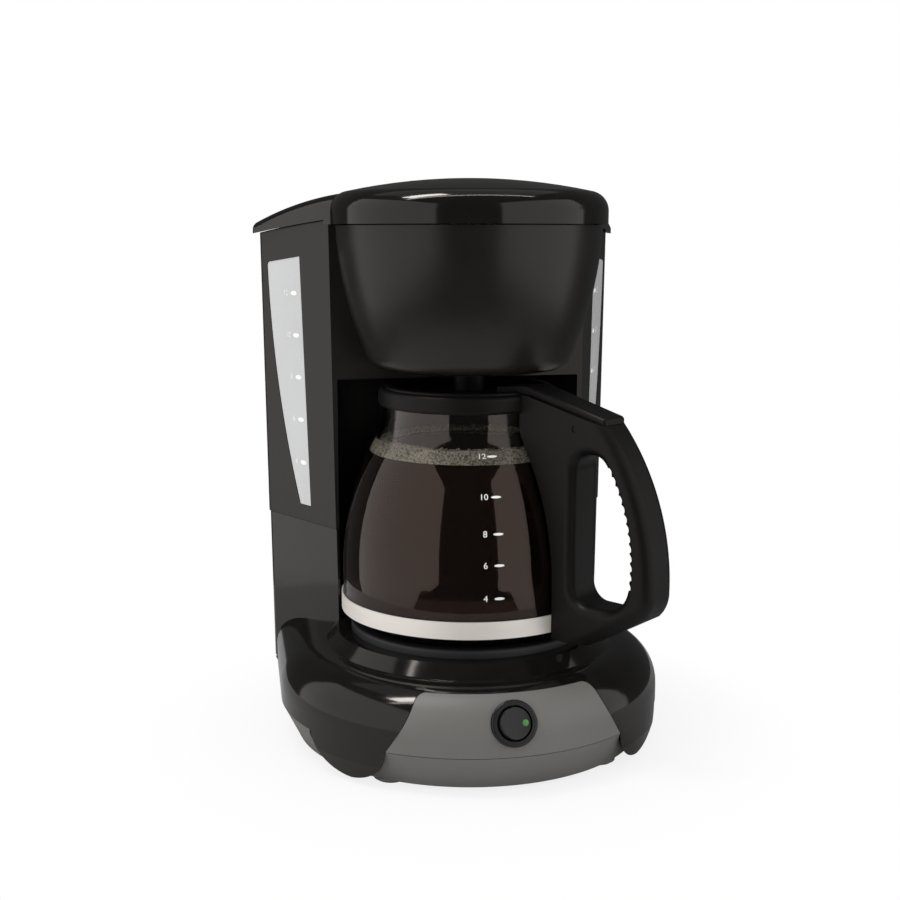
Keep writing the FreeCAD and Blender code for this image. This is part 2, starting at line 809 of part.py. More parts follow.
FLANGE_THICK = 2.1
FLANGE_PLAY = 0.5
FLANGE_PROUD = 2.4
FLANGE_SLOPE = 1.5
SKIN_PLAY = 0.1
flange_in = -dim.wall - FLANGE_PLAY
grommet = new_body("grommet")
turn(grommet, draw(grommet, "XZ_Plane", [
    (GROMMET_BORE, flange_in - FLANGE_THICK), (GROMMET_FLANGE, flange_in - FLANGE_THICK),
    (GROMMET_FLANGE, flange_in), (GROMMET_NECK, flange_in),
    (GROMMET_NECK, SKIN_PLAY), (GROMMET_FLANGE, SKIN_PLAY),
    (GROMMET_FLANGE - FLANGE_SLOPE, FLANGE_PROUD), (GROMMET_BORE, FLANGE_PROUD)]))
grommet.Placement.Rotation = FreeCAD.Rotation(FreeCAD.Vector(1, 0, 0), -90)
bind(grommet, "Placement.Base.z", GROMMET_Z)
bind(grommet, "Placement.Base.y", back_y + dim.axis_y)
grommet.Label = "cord_grommet"
pieces.append(grommet)

# Front panel: a curved grey skin, flush with the drum, with a round seat for the switch

switch_rise = dim.switch_z - (dim.deck_z - dim.shoulder_round)
switch_lean = math.degrees(math.asin(switch_rise.value / dim.shoulder_round.value))
switch_reach = dim.drum_radius - dim.shoulder_round + root(
    dim.shoulder_round * dim.shoulder_round - switch_rise * switch_rise)


def face_switch(thing, spin=0.0, depth=0.0):
    """Places a piece drawn along +Z at the switch, square to the leaning panel."""
    lean = FreeCAD.Rotation(FreeCAD.Vector(1, 0, 0), 90 - switch_lean)
    spot = FreeCAD.Vector(0, -switch_reach.value, dim.switch_z.value)
    spot = spot + lean.multVec(FreeCAD.Vector(0, 0, -depth))
    for axis in "xyz":
        thing.setExpression(f"Placement.Base.{axis}", None)
    thing.Placement = FreeCAD.Placement(spot, lean.multiply(FreeCAD.Rotation(FreeCAD.Vector(0, 1, 0), spin)))
    return thing


def keep_at_switch(thing, label, **how):
    face_switch(thing, **how)
    thing.Placement.Base.y += dim.axis_y.value
    thing.Label = label
    pieces.append(thing)


skin = new_body("panel_skin")
inner_knee, inner_deck = shoulder_points(dim.panel_thick)
outer_knee, outer_deck = shoulder_points(0)
turn(skin, draw(skin, "XZ_Plane", [
    (dim.drum_radius - dim.panel_thick, dim.drum_low_z), (dim.drum_radius, dim.drum_low_z),
    outer_knee, outer_deck, (inner_deck[0], inner_deck[1], -inner_knee[2]), (inner_knee[0], inner_knee[1])]))
panel = common("panel_plate", skin, panel_prism("panel_shape", dim.drum_low_z, dim.panel_gap))
SEAT_PLAY = 0.3
BARREL_PLAY = 0.2
seat = face_switch(cylinder("switch_seat", dim.bezel_radius + SEAT_PLAY, 10), depth=dim.bezel_seat.value)
hole = face_switch(cylinder("switch_hole", dim.barrel_radius + BARREL_PLAY, 40), depth=20)
panel = cut("panel_seated", panel, seat)
keep(cut("panel_bored", panel, hole), "control_panel")

# Round rocker switch: a flanged barrel, a rocker that tips left and right, and a small green lens

switch_bore = dim.rocker_radius + dim.rocker_gap
bore_low = -dim.rocker_pivot_depth - switch_bore
BEZEL_ROUND = 1.0
TAB_X = 4.5
TAB_HALF_THICK = 0.4
TAB_HALF_WIDE = 3.2
TAB_LONG = 9.0
barrel = new_body("barrel")
turn(barrel, draw(barrel, "XZ_Plane", [
    (0, -dim.barrel_depth), (dim.barrel_radius, -dim.barrel_depth), (dim.barrel_radius, -dim.bezel_seat),
    (dim.bezel_radius, -dim.bezel_seat), (dim.bezel_radius, dim.bezel_proud - BEZEL_ROUND, BEZEL_ROUND),
    (dim.bezel_radius - BEZEL_ROUND, dim.bezel_proud), (switch_bore, dim.bezel_proud),
    (switch_bore, bore_low), (0, bore_low)]))
for x in (-TAB_X, TAB_X):
    left = x - TAB_HALF_THICK
    right = x + TAB_HALF_THICK
    pad(barrel, draw(barrel, "XY_Plane", [
        (left, -TAB_HALF_WIDE), (right, -TAB_HALF_WIDE), (right, TAB_HALF_WIDE), (left, TAB_HALF_WIDE)],
        lift=-dim.barrel_depth), TAB_LONG, backwards=True)
PIVOT_RADIUS = 1.5
PIVOT_FIT = 0.06
PIVOT_LONG = 2 * dim.rocker_radius + 1.6
PIVOT_END_PLAY = 0.4
pocket(barrel, draw_circles(barrel, "XZ_Plane", [(0, -dim.rocker_pivot_depth, PIVOT_RADIUS + PIVOT_FIT)]),
       PIVOT_LONG + PIVOT_END_PLAY, both_ways=True)
keep_at_switch(barrel, "switch_barrel")

rocker = new_body("rocker_solid")
ball = dim.rocker_radius
DISH_RADIUS = 46.0
DISH_DEEP = 1.3
DISH_EDGE = 1.2
slice_high = ball * 0.55
slice_radius = root(ball * ball - slice_high * slice_high)
turn(rocker, draw(rocker, "XZ_Plane", [
    (0, -slice_high), (slice_radius, -slice_high, ball), (slice_radius, slice_high), (0, slice_high)]))
dish_half = ball + 1
dish_low = slice_high - DISH_DEEP
pocket(rocker, draw(rocker, "XZ_Plane", [
    (-dish_half, dish_low + DISH_EDGE, DISH_RADIUS), (dish_half, dish_low + DISH_EDGE),
    (dish_half, ball), (-dish_half, ball)]), 2 * ball + 4, both_ways=True)
pad(rocker, draw_circles(rocker, "XZ_Plane", [(0, 0, PIVOT_RADIUS)]), PIVOT_LONG, both_ways=True)
LENS_DEEP = 2.2
LENS_FIT = 0.05
LENS_SIDE = 0.5
LENS_CROWN = 1.0
pocket(rocker, draw_circles(rocker, "XY_Plane", [(dim.lens_x, 0, dim.lens_radius + LENS_FIT)], lift=ball),
       ball - dish_low + LENS_DEEP)
keep_at_switch(rocker, "rocker", spin=dim.rocker_tilt.value, depth=dim.rocker_pivot_depth.value)

lens = new_body("lens")
lens_low = dish_low - LENS_DEEP
turn(lens, draw(lens, "XZ_Plane", [
    (0, lens_low), (dim.lens_radius, lens_low), (dim.lens_radius, dish_low + LENS_SIDE),
    (0, dish_low + LENS_CROWN)]))
lens.Placement.Base.x = dim.lens_x.value
lens_turned = FreeCAD.Placement(lens.Placement)
face_switch(lens, spin=dim.rocker_tilt.value, depth=dim.rocker_pivot_depth.value)
lens.Placement = lens.Placement.multiply(lens_turned)
lens.Placement.Base.y += dim.axis_y.value
lens.Label = "power_lens"
pieces.append(lens)

# Upper housing: the black moulding that holds the water tank and, ahead of it, the round brew head

OVER = 12.0
upper_low = dim.seam_z + dim.seam_gap
upper_high = dim.arch_apex_z + OVER
upper_skin = dim.wall - dim.upper_step


def arch_path(apex, top):
    """Everything above an arch that falls away to both sides."""
    half = dim.lid_tip_half + 10
    spring = apex - dim.arch_radius + root(dim.arch_radius * dim.arch_radius - half * half)
    return [(-half, spring, -dim.arch_radius), (half, spring), (half, top), (-half, top)]


HEAD_FLOOR_ROUND = 11.0


def head_points(inset):
    """Half section of the brew head's side, from its floor up to its top edge."""
    knee = (dim.head_knee_radius - inset * 0.8, dim.head_knee_z + inset * 0.6)
    return [(dim.head_low_radius - inset / 2, dim.head_low_z + inset, HEAD_FLOOR_ROUND - inset / 2),
            (*knee, dim.head_belly_radius - inset)]


block = tower_solid("upper_block", upper_low, upper_high, -dim.upper_step)
pocket(block, draw_circles(block, "XY_Plane", [(0, 0, dim.alcove_radius)], lift=upper_low),
       dim.bridge_z - upper_low, backwards=True)
DEPTH = 130.0
pocket(block, draw(block, "XZ_Plane", arch_path(dim.arch_apex_z, upper_high + 1), lift=DEPTH), 2 * DEPTH)


def hinge_sides(step):
    """The two ears beside each lid knuckle, as starts along X."""
    away = dim.knuckle_half + dim.hinge_side_gap
    for side in (-1, 1):
        yield side * dim.knuckle_x + away
        yield side * dim.knuckle_x - away - step


def round_end(low_y, low_z, high_z):
    """Side view of a hinge arm whose round end is on the hinge axis."""
    bend = dim.knuckle_radius
    return [(low_y, low_z), (dim.hinge_y + bend, dim.hinge_z, bend), (dim.hinge_y, dim.hinge_z + bend, bend),
            (dim.hinge_y - bend, dim.hinge_z), (low_y, high_z)]


ear_thick = 2 * dim.ear_half
EAR_ROOT = 5.0
EAR_DROP = 17.0
EAR_TOP_DROP = 4.0
for start in hinge_sides(ear_thick):
    ear = round_end(back_y - EAR_ROOT, dim.hinge_z - EAR_DROP, dim.hinge_z - EAR_TOP_DROP)
    pad(block, draw(block, "YZ_Plane", ear, lift=start), ear_thick)
PIN_SEAT_FIT = 0.03
pin_seat = (dim.hinge_y, dim.hinge_z, dim.hinge_pin_radius + PIN_SEAT_FIT)
pocket(block, draw_circles(block, "YZ_Plane", [pin_seat]), DEPTH, both_ways=True)

head = new_body("brew_head")
turn(head, draw(head, "XZ_Plane", [
    (0, dim.head_low_z), *head_points(0), (dim.head_top_radius, dim.head_top_z), (0, dim.head_top_z)]))
LEDGE_SKIN = 2.6
LEDGE_STEP = 2.4
ledge_radius = dim.head_top_radius - LEDGE_SKIN
bowl = new_body("bowl")
turn(bowl, draw(bowl, "XZ_Plane", [
    (0, dim.head_low_z + dim.wall), *head_points(dim.wall), (ledge_radius - LEDGE_STEP, dim.basket_ledge_z),
    (ledge_radius, dim.basket_ledge_z), (ledge_radius, upper_high + 2), (0, upper_high + 2)]))
head_hole = cylinder("head_hole", dim.head_floor_hole, 20, 0, 0, dim.head_low_z - 10)
SPRAY_SLOT_HALF = 8.0
SPRAY_SLOT_DROP = 6.5
SPRAY_SLOT_LONG = 15.0
spray_slot = box("spray_slot",
                 (-SPRAY_SLOT_HALF, dim.head_top_radius - SPRAY_SLOT_LONG, dim.spray_z - SPRAY_SLOT_DROP),
                 (SPRAY_SLOT_HALF, dim.head_top_radius + SPRAY_SLOT_LONG, upper_high + 2))


WINDOW_CORNER = 2.5
WINDOW_REACH = 8.0


def window_shape(name, gap):
    """Right-hand window in its wall's own plane: a bowed rear edge draws it in towards the foot."""
    body = new_body(name)
    front_top = dim.window_front_top + gap
    front_low = dim.window_front_low + gap
    rear_top = dim.window_rear_top - gap
    rear_low = dim.window_rear_low - gap
    low_z = dim.window_low_z + gap
    top_z = dim.window_top_z - gap
    rear_corner = [(rear_top, top_z - WINDOW_CORNER, WINDOW_CORNER), (rear_top - WINDOW_CORNER, top_z)]
    pad(body, draw(body, "XZ_Plane", [
        (front_low, low_z), (rear_low, low_z, dim.window_rear_bow), *rear_corner,
        (front_top, top_z + dim.window_rise)], lift=-WINDOW_REACH), 2 * WINDOW_REACH)
    body.Placement = FreeCAD.Placement(
        FreeCAD.Vector(dim.tower_front_half.value, dim.tower_front_y.value, 0),
        FreeCAD.Rotation(FreeCAD.Vector(0, 0, 1), 90 - dim.wall_turn.value))
    bind(body, "Placement.Base.x", dim.tower_front_half)
    bind(body, "Placement.Base.y", dim.tower_front_y)
    return body


window_right = window_shape("window_opening_right", 0)
bay_radius = max(dim.alcove_radius, dim.head_top_radius, key=lambda size: size.value)
bay_outer = bay_radius + dim.wall
upper_inside = crescent("upper_inside", upper_low + dim.wall, upper_high + 2, upper_skin, bay_outer)
head_keep = new_body("head_keep")
turn(head_keep, draw(head_keep, "XZ_Plane", [
    (0, dim.bridge_z), (dim.head_low_radius, dim.bridge_z), *head_points(0),
    (dim.head_top_radius, dim.head_top_z), (dim.head_top_radius, upper_high + 3), (0, upper_high + 3)]))
over_bridge = tower_solid("over_bridge", dim.bridge_z + dim.wall, upper_high + 2, upper_skin)
behind_head = cut("behind_head", over_bridge, head_keep)
upper = fuse("upper_head", block, head)
upper = cut("upper_tank_space", upper, upper_inside)
upper = cut("upper_behind_head", upper, behind_head)
upper = cut("upper_bowl", upper, bowl)
upper = cut("upper_head_hole", upper, head_hole)
upper = cut("upper_spray_slot", upper, spray_slot)
upper = cut("upper_window_right", upper, window_right)
upper = cut("upper_window_left", upper, mirrored("window_opening_left", window_right))
floor_holes = compound("upper_floor_holes", [
    cylinder("inlet_floor_hole", pipe_clear, 20, INLET_X, dim.pipe_back_y, upper_low - 8),
    cylinder("riser_floor_hole", pipe_clear, 20, 0, dim.riser_y, upper_low - 8)])
keep(cut("upper_floor_bored", upper, floor_holes), "upper_housing")

# Water windows: clear panels flush in the two slanting walls

WINDOW_SUNK = 0.3
wall_outer = tower_solid("window_wall_outer", upper_low, dim.head_top_z, WINDOW_SUNK - dim.upper_step)
wall_inner = tower_solid("window_wall_inner", upper_low, dim.head_top_z, upper_skin)
window_wall = cut("window_wall", wall_outer, wall_inner)
pane = window_shape("window_pane", dim.window_gap)
keep(common("window_panel", window_wall, pane), "water_window_right")
keep(common("window_panel_twin", window_wall, mirrored("window_pane_twin", pane)), "water_window_left")

# Water tank: an open crescent cup inside the upper housing

tank_low = upper_low + dim.wall + dim.tank_gap / 2
tank_inset = upper_skin + dim.tank_gap
tank_ring = bay_outer + dim.tank_gap
tank_outside = crescent("tank_outside", tank_low, dim.tank_top_z, tank_inset, tank_ring)
tank_inside = crescent("tank_inside", tank_low + dim.tank_wall, dim.tank_top_z + 2,
                       tank_inset + dim.tank_wall, tank_ring + dim.tank_wall)
tank_holes = compound("tank_holes", [
    cylinder("inlet_tank_hole", dim.pipe_bore_radius, 20, INLET_X, dim.pipe_back_y, tank_low - 8),
    cylinder("riser_tank_hole", dim.riser_radius + 0.3, 20, 0, dim.riser_y, tank_low - 8)])
tank = cut("tank_cup", tank_outside, tank_inside)
keep(cut("tank_bored", tank, tank_holes), "water_tank")

# Warming plate with its ring seal, the horseshoe heater under it and what holds the heater

ledge_z = dim.platform_top_z - LEDGE_DROP
SEAL_THICK = 2.4
PLATE_ROUND = 1.5
PLATE_LAND = 8.0
dish_edge = dim.plate_radius - PLATE_LAND
plate = new_body("plate")
plate_under = dim.plate_top_z - dim.plate_dish - dim.plate_wall
turn(plate, draw(plate, "XZ_Plane", [
    (0, plate_under), (dish_edge - 1, plate_under), (dish_edge + 1, plate_under + dim.plate_dish),
    (dim.plate_radius - dim.plate_wall, plate_under + dim.plate_dish),
    (dim.plate_radius - dim.plate_wall, ledge_z + SEAL_THICK), (dim.plate_radius, ledge_z + SEAL_THICK),
    (dim.plate_radius, dim.plate_top_z - PLATE_ROUND, PLATE_ROUND),
    (dim.plate_radius - PLATE_ROUND, dim.plate_top_z), (dish_edge + 2, dim.plate_top_z),
    (dish_edge, dim.plate_top_z - dim.plate_dish), (0, dim.plate_top_z - dim.plate_dish)]))
keep(plate, "warming_plate")

SEAL_INNER_PLAY = 0.5
seal_inner = well_radius - LEDGE_WIDE + SEAL_INNER_PLAY
seal = new_body("seal")
turn(seal, draw(seal, "XZ_Plane", [
    (seal_inner, ledge_z), (dim.plate_radius, ledge_z),
    (dim.plate_radius, ledge_z + SEAL_THICK), (seal_inner, ledge_z + SEAL_THICK)]))
keep(seal, "plate_seal")

heater_z = plate_under - dim.heater_tube_radius
heater_ring = doc.addObject("Part::Torus", "heater_ring")
bind(heater_ring, "Radius1", dim.heater_ring_radius)
bind(heater_ring, "Radius2", dim.heater_tube_radius)
bind(heater_ring, "Angle3", 360 - dim.heater_open_turn)
heater_ring.Placement = FreeCAD.Placement(
    FreeCAD.Vector(0, 0, heater_z.value),
    FreeCAD.Rotation(FreeCAD.Vector(0, 0, 1), 90 + dim.heater_open_turn.value / 2))
bind(heater_ring, "Placement.Base.z", heater_z)
doc.recompute()
keep(heater_ring, "heating_element")

BRACKET_THICK = 2.5
BRACKET_HALF = 7.0
bracket_top = heater_z - dim.heater_tube_radius
bracket_low = bracket_top - BRACKET_THICK
bracket_reach = dim.heater_ring_radius + dim.heater_tube_radius + 2
STUD_RADIUS = 2.5
STUD_FIT = 0.1
bracket = new_body("bracket")
pad(bracket, draw(bracket, "XY_Plane", [
    (-bracket_reach, -BRACKET_HALF), (bracket_reach, -BRACKET_HALF),
    (bracket_reach, BRACKET_HALF), (-bracket_reach, BRACKET_HALF)], lift=bracket_low), BRACKET_THICK)
pocket(bracket, draw_circles(bracket, "XY_Plane", [(0, 0, STUD_RADIUS + STUD_FIT)], lift=bracket_top),
       BRACKET_THICK)
keep(bracket, "heater_bracket")

NUT_THICK = 3.0
NUT_RADIUS = 4.6
nut_low = bracket_low - NUT_THICK
stud = new_body("stud")
turn(stud, draw(stud, "XZ_Plane", [
    (0, nut_low - 1), (STUD_RADIUS, nut_low - 1), (STUD_RADIUS, nut_low), (NUT_RADIUS, nut_low),
    (NUT_RADIUS, bracket_low), (STUD_RADIUS, bracket_low), (STUD_RADIUS, plate_under), (0, plate_under)]))
keep(stud, "plate_stud")

THERMOSTAT_X = 26.0
THERMOSTAT_RADIUS = 8.0
THERMOSTAT_THICK = 4.5
CAP_RADIUS = 5.5
CAP_THICK = 2.5
can_low = bracket_low - THERMOSTAT_THICK
thermostat = new_body("thermostat_can")
turn(thermostat, draw(thermostat, "XZ_Plane", [
    (0, can_low - CAP_THICK), (CAP_RADIUS, can_low - CAP_THICK), (CAP_RADIUS, can_low),
    (THERMOSTAT_RADIUS, can_low), (THERMOSTAT_RADIUS, bracket_low), (0, bracket_low)]))
keep(thermostat, "thermostat")
bind(thermostat, "Placement.Base.x", THERMOSTAT_X)

FUSE_RADIUS = 2.4
FUSE_LONG = 24.0
fuse_sleeve = cylinder("fuse_sleeve", FUSE_RADIUS, FUSE_LONG, -THERMOSTAT_X - FUSE_LONG / 2, 0,
                       bracket_low - FUSE_RADIUS)
fuse_sleeve.Placement.Rotation = FreeCAD.Rotation(FreeCAD.Vector(0, 1, 0), 90)
keep(fuse_sleeve, "thermal_fuse")

# Pipes: cold water down from the tank to the heater, hot water from the heater up to the riser


def rounded_run(points, bend):
    """Straight runs joined by tangent arcs of one radius."""
    edges = []
    last = points[0]
    for before, corner, after in zip(points, points[1:], points[2:]):
        inward = (before - corner).normalize()
        outward = (after - corner).normalize()
        half_turn = math.acos(max(-1.0, min(1.0, inward.dot(outward)))) / 2
        trim = bend / math.tan(half_turn)
        start = corner + inward * trim
        finish = corner + outward * trim
        middle = (inward + outward).normalize()
        crown = corner + middle * (bend / math.sin(half_turn) - bend)
        edges.append(Part.LineSegment(last, start).toShape())
        edges.append(Part.Arc(start, crown, finish).toShape())
        last = finish
    edges.append(Part.LineSegment(last, points[-1]).toShape())
    return Part.Wire(edges)


def tube_along(points, bend, radius, bore):
    wire = rounded_run(points, bend)
    heading = (points[1] - points[0]).normalize()
    rings = [Part.Wire(Part.Circle(points[0], heading, size).toShape()) for size in (radius, bore)]
    outer, inner = (wire.makePipe(Part.Face(ring)) for ring in rings)
    return outer.cut(inner)


PIPE_BEND = 7.0
PIPE_LEAD = 11.0
PIPE_REACH = 26.0
half_open = math.radians(dim.heater_open_turn.value / 2)
end_x = dim.heater_ring_radius.value * math.sin(half_open)
end_y = dim.heater_ring_radius.value * math.cos(half_open)


def pipe(name, side, top_x, top_y, top_z):
    """From a heater end, under the deck and up at the back of the tower."""
    thing = doc.addObject("Part::Feature", name)
    low = dim.pipe_low_z.value
    lead_x = side * (end_x - PIPE_LEAD * math.cos(half_open))
    lead_y = end_y + PIPE_LEAD * math.sin(half_open)
    points = [FreeCAD.Vector(side * end_x, end_y, heater_z.value),
              FreeCAD.Vector(lead_x, lead_y, heater_z.value),
              FreeCAD.Vector((lead_x + top_x) / 2, lead_y + PIPE_REACH, low),
              FreeCAD.Vector(top_x, top_y, low),
              FreeCAD.Vector(top_x, top_y, top_z)]
    thing.Shape = tube_along(points, PIPE_BEND, dim.pipe_radius.value, dim.pipe_bore_radius.value)
    return thing


keep(pipe("cold_pipe", -1, INLET_X, dim.pipe_back_y.value, tank_low.value), "inlet_pipe")
riser_low = dim.seam_z - 14
keep(pipe("hot_pipe", 1, 0.0, dim.riser_y.value, riser_low.value), "outlet_pipe")

ARM_DROP = 5.0
RISER_BORE_STEP = 0.6
arm_low = dim.spray_z - ARM_DROP
riser_bore = dim.pipe_bore_radius - RISER_BORE_STEP
riser = new_body("riser")
turn(riser, draw(riser, "XZ_Plane", [
    (riser_bore, riser_low), (dim.riser_radius, riser_low),
    (dim.riser_radius, arm_low), (riser_bore, arm_low)]))
keep(riser, "riser_tube")
bind(riser, "Placement.Base.y", dim.axis_y + dim.riser_y)

ARM_HALF = 5.0
ARM_PAST_RISER = 6.0
ROSE_SIDE = 3.0
ROSE_SLOPE = 4.0
HOLE_RADIUS = 1.4
HOLE_DEEP = 4.0
arm_end_half = dim.riser_radius + 1
arm_end = dim.riser_y + ARM_PAST_RISER
arm_top = arm_low + dim.spray_thick
spray = new_body("spray")
pad(spray, draw(spray, "XY_Plane", [
    (-ARM_HALF, 0), (ARM_HALF, 0), (arm_end_half, dim.riser_y), (arm_end_half, arm_end),
    (-arm_end_half, arm_end), (-arm_end_half, dim.riser_y)], lift=arm_low), dim.spray_thick)
turn(spray, draw(spray, "XZ_Plane", [
    (0, arm_low), (dim.spray_radius, arm_low), (dim.spray_radius, arm_low + ROSE_SIDE),
    (dim.spray_radius - ROSE_SLOPE, arm_top), (0, arm_top)]))
first_hole = (dim.spray_radius * 2 / 3, 0, HOLE_RADIUS)
drip = pocket(spray, draw_circles(spray, "XY_Plane", [first_hole], lift=arm_low),
              HOLE_DEEP, backwards=True)
ring_of_holes = spray.newObject("PartDesign::PolarPattern", "ring_of_holes")
ring_of_holes.Originals = [drip]
ring_of_holes.Axis = (drip.Profile[0], ["N_Axis"])
bind(ring_of_holes, "Occurrences", dim.spray_holes)
spray.Tip = ring_of_holes
doc.recompute()
keep(spray, "spray_arm")

# Filter basket with its drip stop: a sealed plunger that the carafe's lid holds up

basket_under = dim.head_low_z + dim.wall + dim.basket_gap
basket_floor = basket_under + dim.basket_wall
GUIDE_RADIUS = 4.4
DRAIN_RADIUS = 1.2
DRAIN_REACH = 6.2
DRAIN_COUNT = 6
guide_low = dim.head_low_z - 0.5
stem_bore = dim.valve_stem_radius + dim.valve_stem_fit
rim_radius = ledge_radius - dim.basket_gap
rim_top = dim.basket_ledge_z + 2
side_top = ledge_radius - dim.basket_rim_wide - dim.basket_gap - 0.6
knee_radius = dim.head_knee_radius - dim.wall - dim.basket_gap - 0.6
knee_z = dim.head_knee_z + dim.wall + dim.basket_gap + 0.4
floor_radius = dim.head_low_radius - 4
thin = dim.basket_wall
FLOOR_BEND = 14.0
basket = new_body("basket")
turn(basket, draw(basket, "XZ_Plane", [
    (stem_bore, guide_low), (GUIDE_RADIUS, guide_low), (GUIDE_RADIUS, basket_under),
    (floor_radius, basket_under, FLOOR_BEND), (knee_radius, knee_z, dim.head_belly_radius),
    (side_top, dim.basket_ledge_z), (rim_radius, dim.basket_ledge_z), (rim_radius, rim_top),
    (side_top - thin, rim_top, -dim.head_belly_radius),
    (knee_radius - thin, knee_z + thin / 2, thin - FLOOR_BEND),
    (floor_radius, basket_floor), (stem_bore, basket_floor)]))


def ring_of(count, reach, radius):
    """Circles spaced evenly about the axis."""
    return [(reach * math.cos(2 * math.pi * n / count), reach * math.sin(2 * math.pi * n / count), radius)
            for n in range(count)]


drains = ring_of(DRAIN_COUNT, DRAIN_REACH, DRAIN_RADIUS)
pocket(basket, draw_circles(basket, "XY_Plane", drains, lift=basket_under), dim.basket_wall, backwards=True)
keep(basket, "filter_basket")

SEAL_PLAY = 0.3
VALVE_SEAL_THICK = 1.2
valve_head_low = basket_floor + SEAL_PLAY + dim.valve_drop + VALVE_SEAL_THICK
valve_head_top = valve_head_low + dim.valve_head_thick
valve = new_body("valve")
turn(valve, draw(valve, "XZ_Plane", [
    (0, dim.valve_low_z), (dim.valve_stem_radius - 1, dim.valve_low_z),
    (dim.valve_stem_radius, dim.valve_low_z + 1), (dim.valve_stem_radius, valve_head_low),
    (dim.valve_head_radius, valve_head_low),
    (dim.valve_head_radius, valve_head_top), (0, valve_head_top)]))
keep(valve, "drip_valve")

VALVE_SEAL_FIT = 0.02
seal_bore = dim.valve_stem_radius + VALVE_SEAL_FIT
seal_low = valve_head_low - VALVE_SEAL_THICK
valve_seal = new_body("valve_seal_ring")
turn(valve_seal, draw(valve_seal, "XZ_Plane", [
    (seal_bore, seal_low), (dim.valve_head_radius, seal_low),
    (dim.valve_head_radius, valve_head_low), (seal_bore, valve_head_low)]))
keep(valve_seal, "valve_seal")

CAGE_RADIUS = 11.5
CAGE_WALL = 1.5
CAGE_SLOT_HALF = 4.0
SPRING_PLAY = 0.2
spring_low = valve_head_top + SPRING_PLAY
spring_top = spring_low + dim.spring_rise
cage_inner = CAGE_RADIUS - CAGE_WALL
cage_top = spring_top + CAGE_WALL
cage = new_body("cage")
turn(cage, draw(cage, "XZ_Plane", [
    (cage_inner, basket_floor), (CAGE_RADIUS, basket_floor), (CAGE_RADIUS, cage_top),
    (0, cage_top), (0, spring_top), (cage_inner, spring_top)]))
for plane in ("XZ_Plane", "YZ_Plane"):
    pocket(cage, draw(cage, plane, [
        (-CAGE_SLOT_HALF, basket_floor), (CAGE_SLOT_HALF, basket_floor), (CAGE_SLOT_HALF, spring_top - 2),
        (-CAGE_SLOT_HALF, spring_top - 2)]), 4 * CAGE_RADIUS, both_ways=True)
keep(cage, "valve_cage")

spring = doc.addObject("Part::Feature", "spring_coil")
COIL_PLAY = 0.3
coil_rise = dim.spring_rise.value - 2 * dim.spring_wire.value - COIL_PLAY
coil = Part.makeHelix(coil_rise / dim.spring_turns.value, coil_rise, dim.spring_radius.value)
coil_start = FreeCAD.Vector(dim.spring_radius.value, 0, 0)
WIRE_SIDES = 6
corners = [coil_start + FreeCAD.Vector(math.cos(turned), 0, math.sin(turned)) * dim.spring_wire.value
           for turned in (2 * math.pi * n / WIRE_SIDES for n in range(WIRE_SIDES + 1))]
wire_ring = Part.makePolygon(corners)
spring.Shape = Part.Wire(coil).makePipeShell([wire_ring], True, True)
spring.Placement.Base.z = (spring_low + dim.spring_wire).value + COIL_PLAY / 3
keep(spring, "valve_spring")

# Lid: a round pillowed lobe over the brew head that runs into a fan over the tower

lid_low = dim.head_top_z + dim.lid_gap
fan_apex = dim.lid_apex_z - dim.lobe_step
FAN_TUCK = 20.0
FAN_DEEP = 40.0
DOME_PAST_TIP = 40.0
fan_start = dim.lid_waist_y - FAN_TUCK
waist_x = root(dim.lid_lobe_radius * dim.lid_lobe_radius - dim.lid_waist_y * dim.lid_waist_y)
fan_lean = (dim.lid_tip_half - waist_x) / (dim.lid_tip_y - dim.lid_waist_y)


def fan_side(y, inset):
    """Half width of the fan at a depth, drawn in square to its slanting side."""
    return waist_x + fan_lean * (y - dim.lid_waist_y) - inset * root(1 + fan_lean * fan_lean)


def fan_path(inset):
    """Plan of the fan: it starts inside the lobe, widens to two rounded tips and has a bowed back."""
    start_x = fan_side(fan_start, inset)
    tip_y = dim.lid_tip_y - inset * 0.7
    tip_x = fan_side(tip_y, inset)
    return [(-start_x, fan_start), (start_x, fan_start),
            *bowed_back(start_x, fan_start, tip_x, tip_y, dim.lid_back_bow, dim.lid_tip_round)]


def dome_points(apex):
    """Half section of everything above the fan's dome, about an axis through its apex."""
    sphere = dim.lid_dome_radius
    reach = dim.lid_tip_half + DOME_PAST_TIP
    spring = apex - sphere + root(sphere * sphere - reach * reach)
    return [(0, apex, -sphere), (reach, spring), (reach, apex + 10), (0, apex + 10)]


def fan_block(name, low, inset):
    body = new_body(name)
    pad(body, draw(body, "XY_Plane", fan_path(inset), lift=low), dim.lid_apex_z + 2 - low)
    turn_away(body, draw(body, "XZ_Plane", dome_points(fan_apex - inset), lift=-dim.lid_apex_y))
    return body


def lobe_block(name, low, inset):
    """Turned lobe: an upright side, a broad rounded edge and a shallow crown that touch without a kink."""
    edge = dim.lobe_edge_round - inset
    crown = dim.lobe_crown_radius - inset
    between = dim.lobe_crown_radius - dim.lobe_edge_round
    edge_x = dim.lid_lobe_radius - dim.lobe_edge_round
    crown_z = dim.lid_apex_z - dim.lobe_crown_radius
    edge_rise = root(between * between - edge_x * edge_x)
    body = new_body(name)
    turn(body, draw(body, "XZ_Plane", [
        (0, low), (edge_x + edge, low), (edge_x + edge, crown_z + edge_rise, edge),
        (edge_x * crown / between, crown_z + edge_rise * crown / between, crown), (0, crown_z + crown)]))
    return body


def on_dome(point):
    """Whether a point lies on the fan's top surface."""
    centre = FreeCAD.Vector(0, dim.lid_apex_y.value, (fan_apex - dim.lid_dome_radius).value)
    return abs((point - centre).Length - dim.lid_dome_radius.value) < 0.01


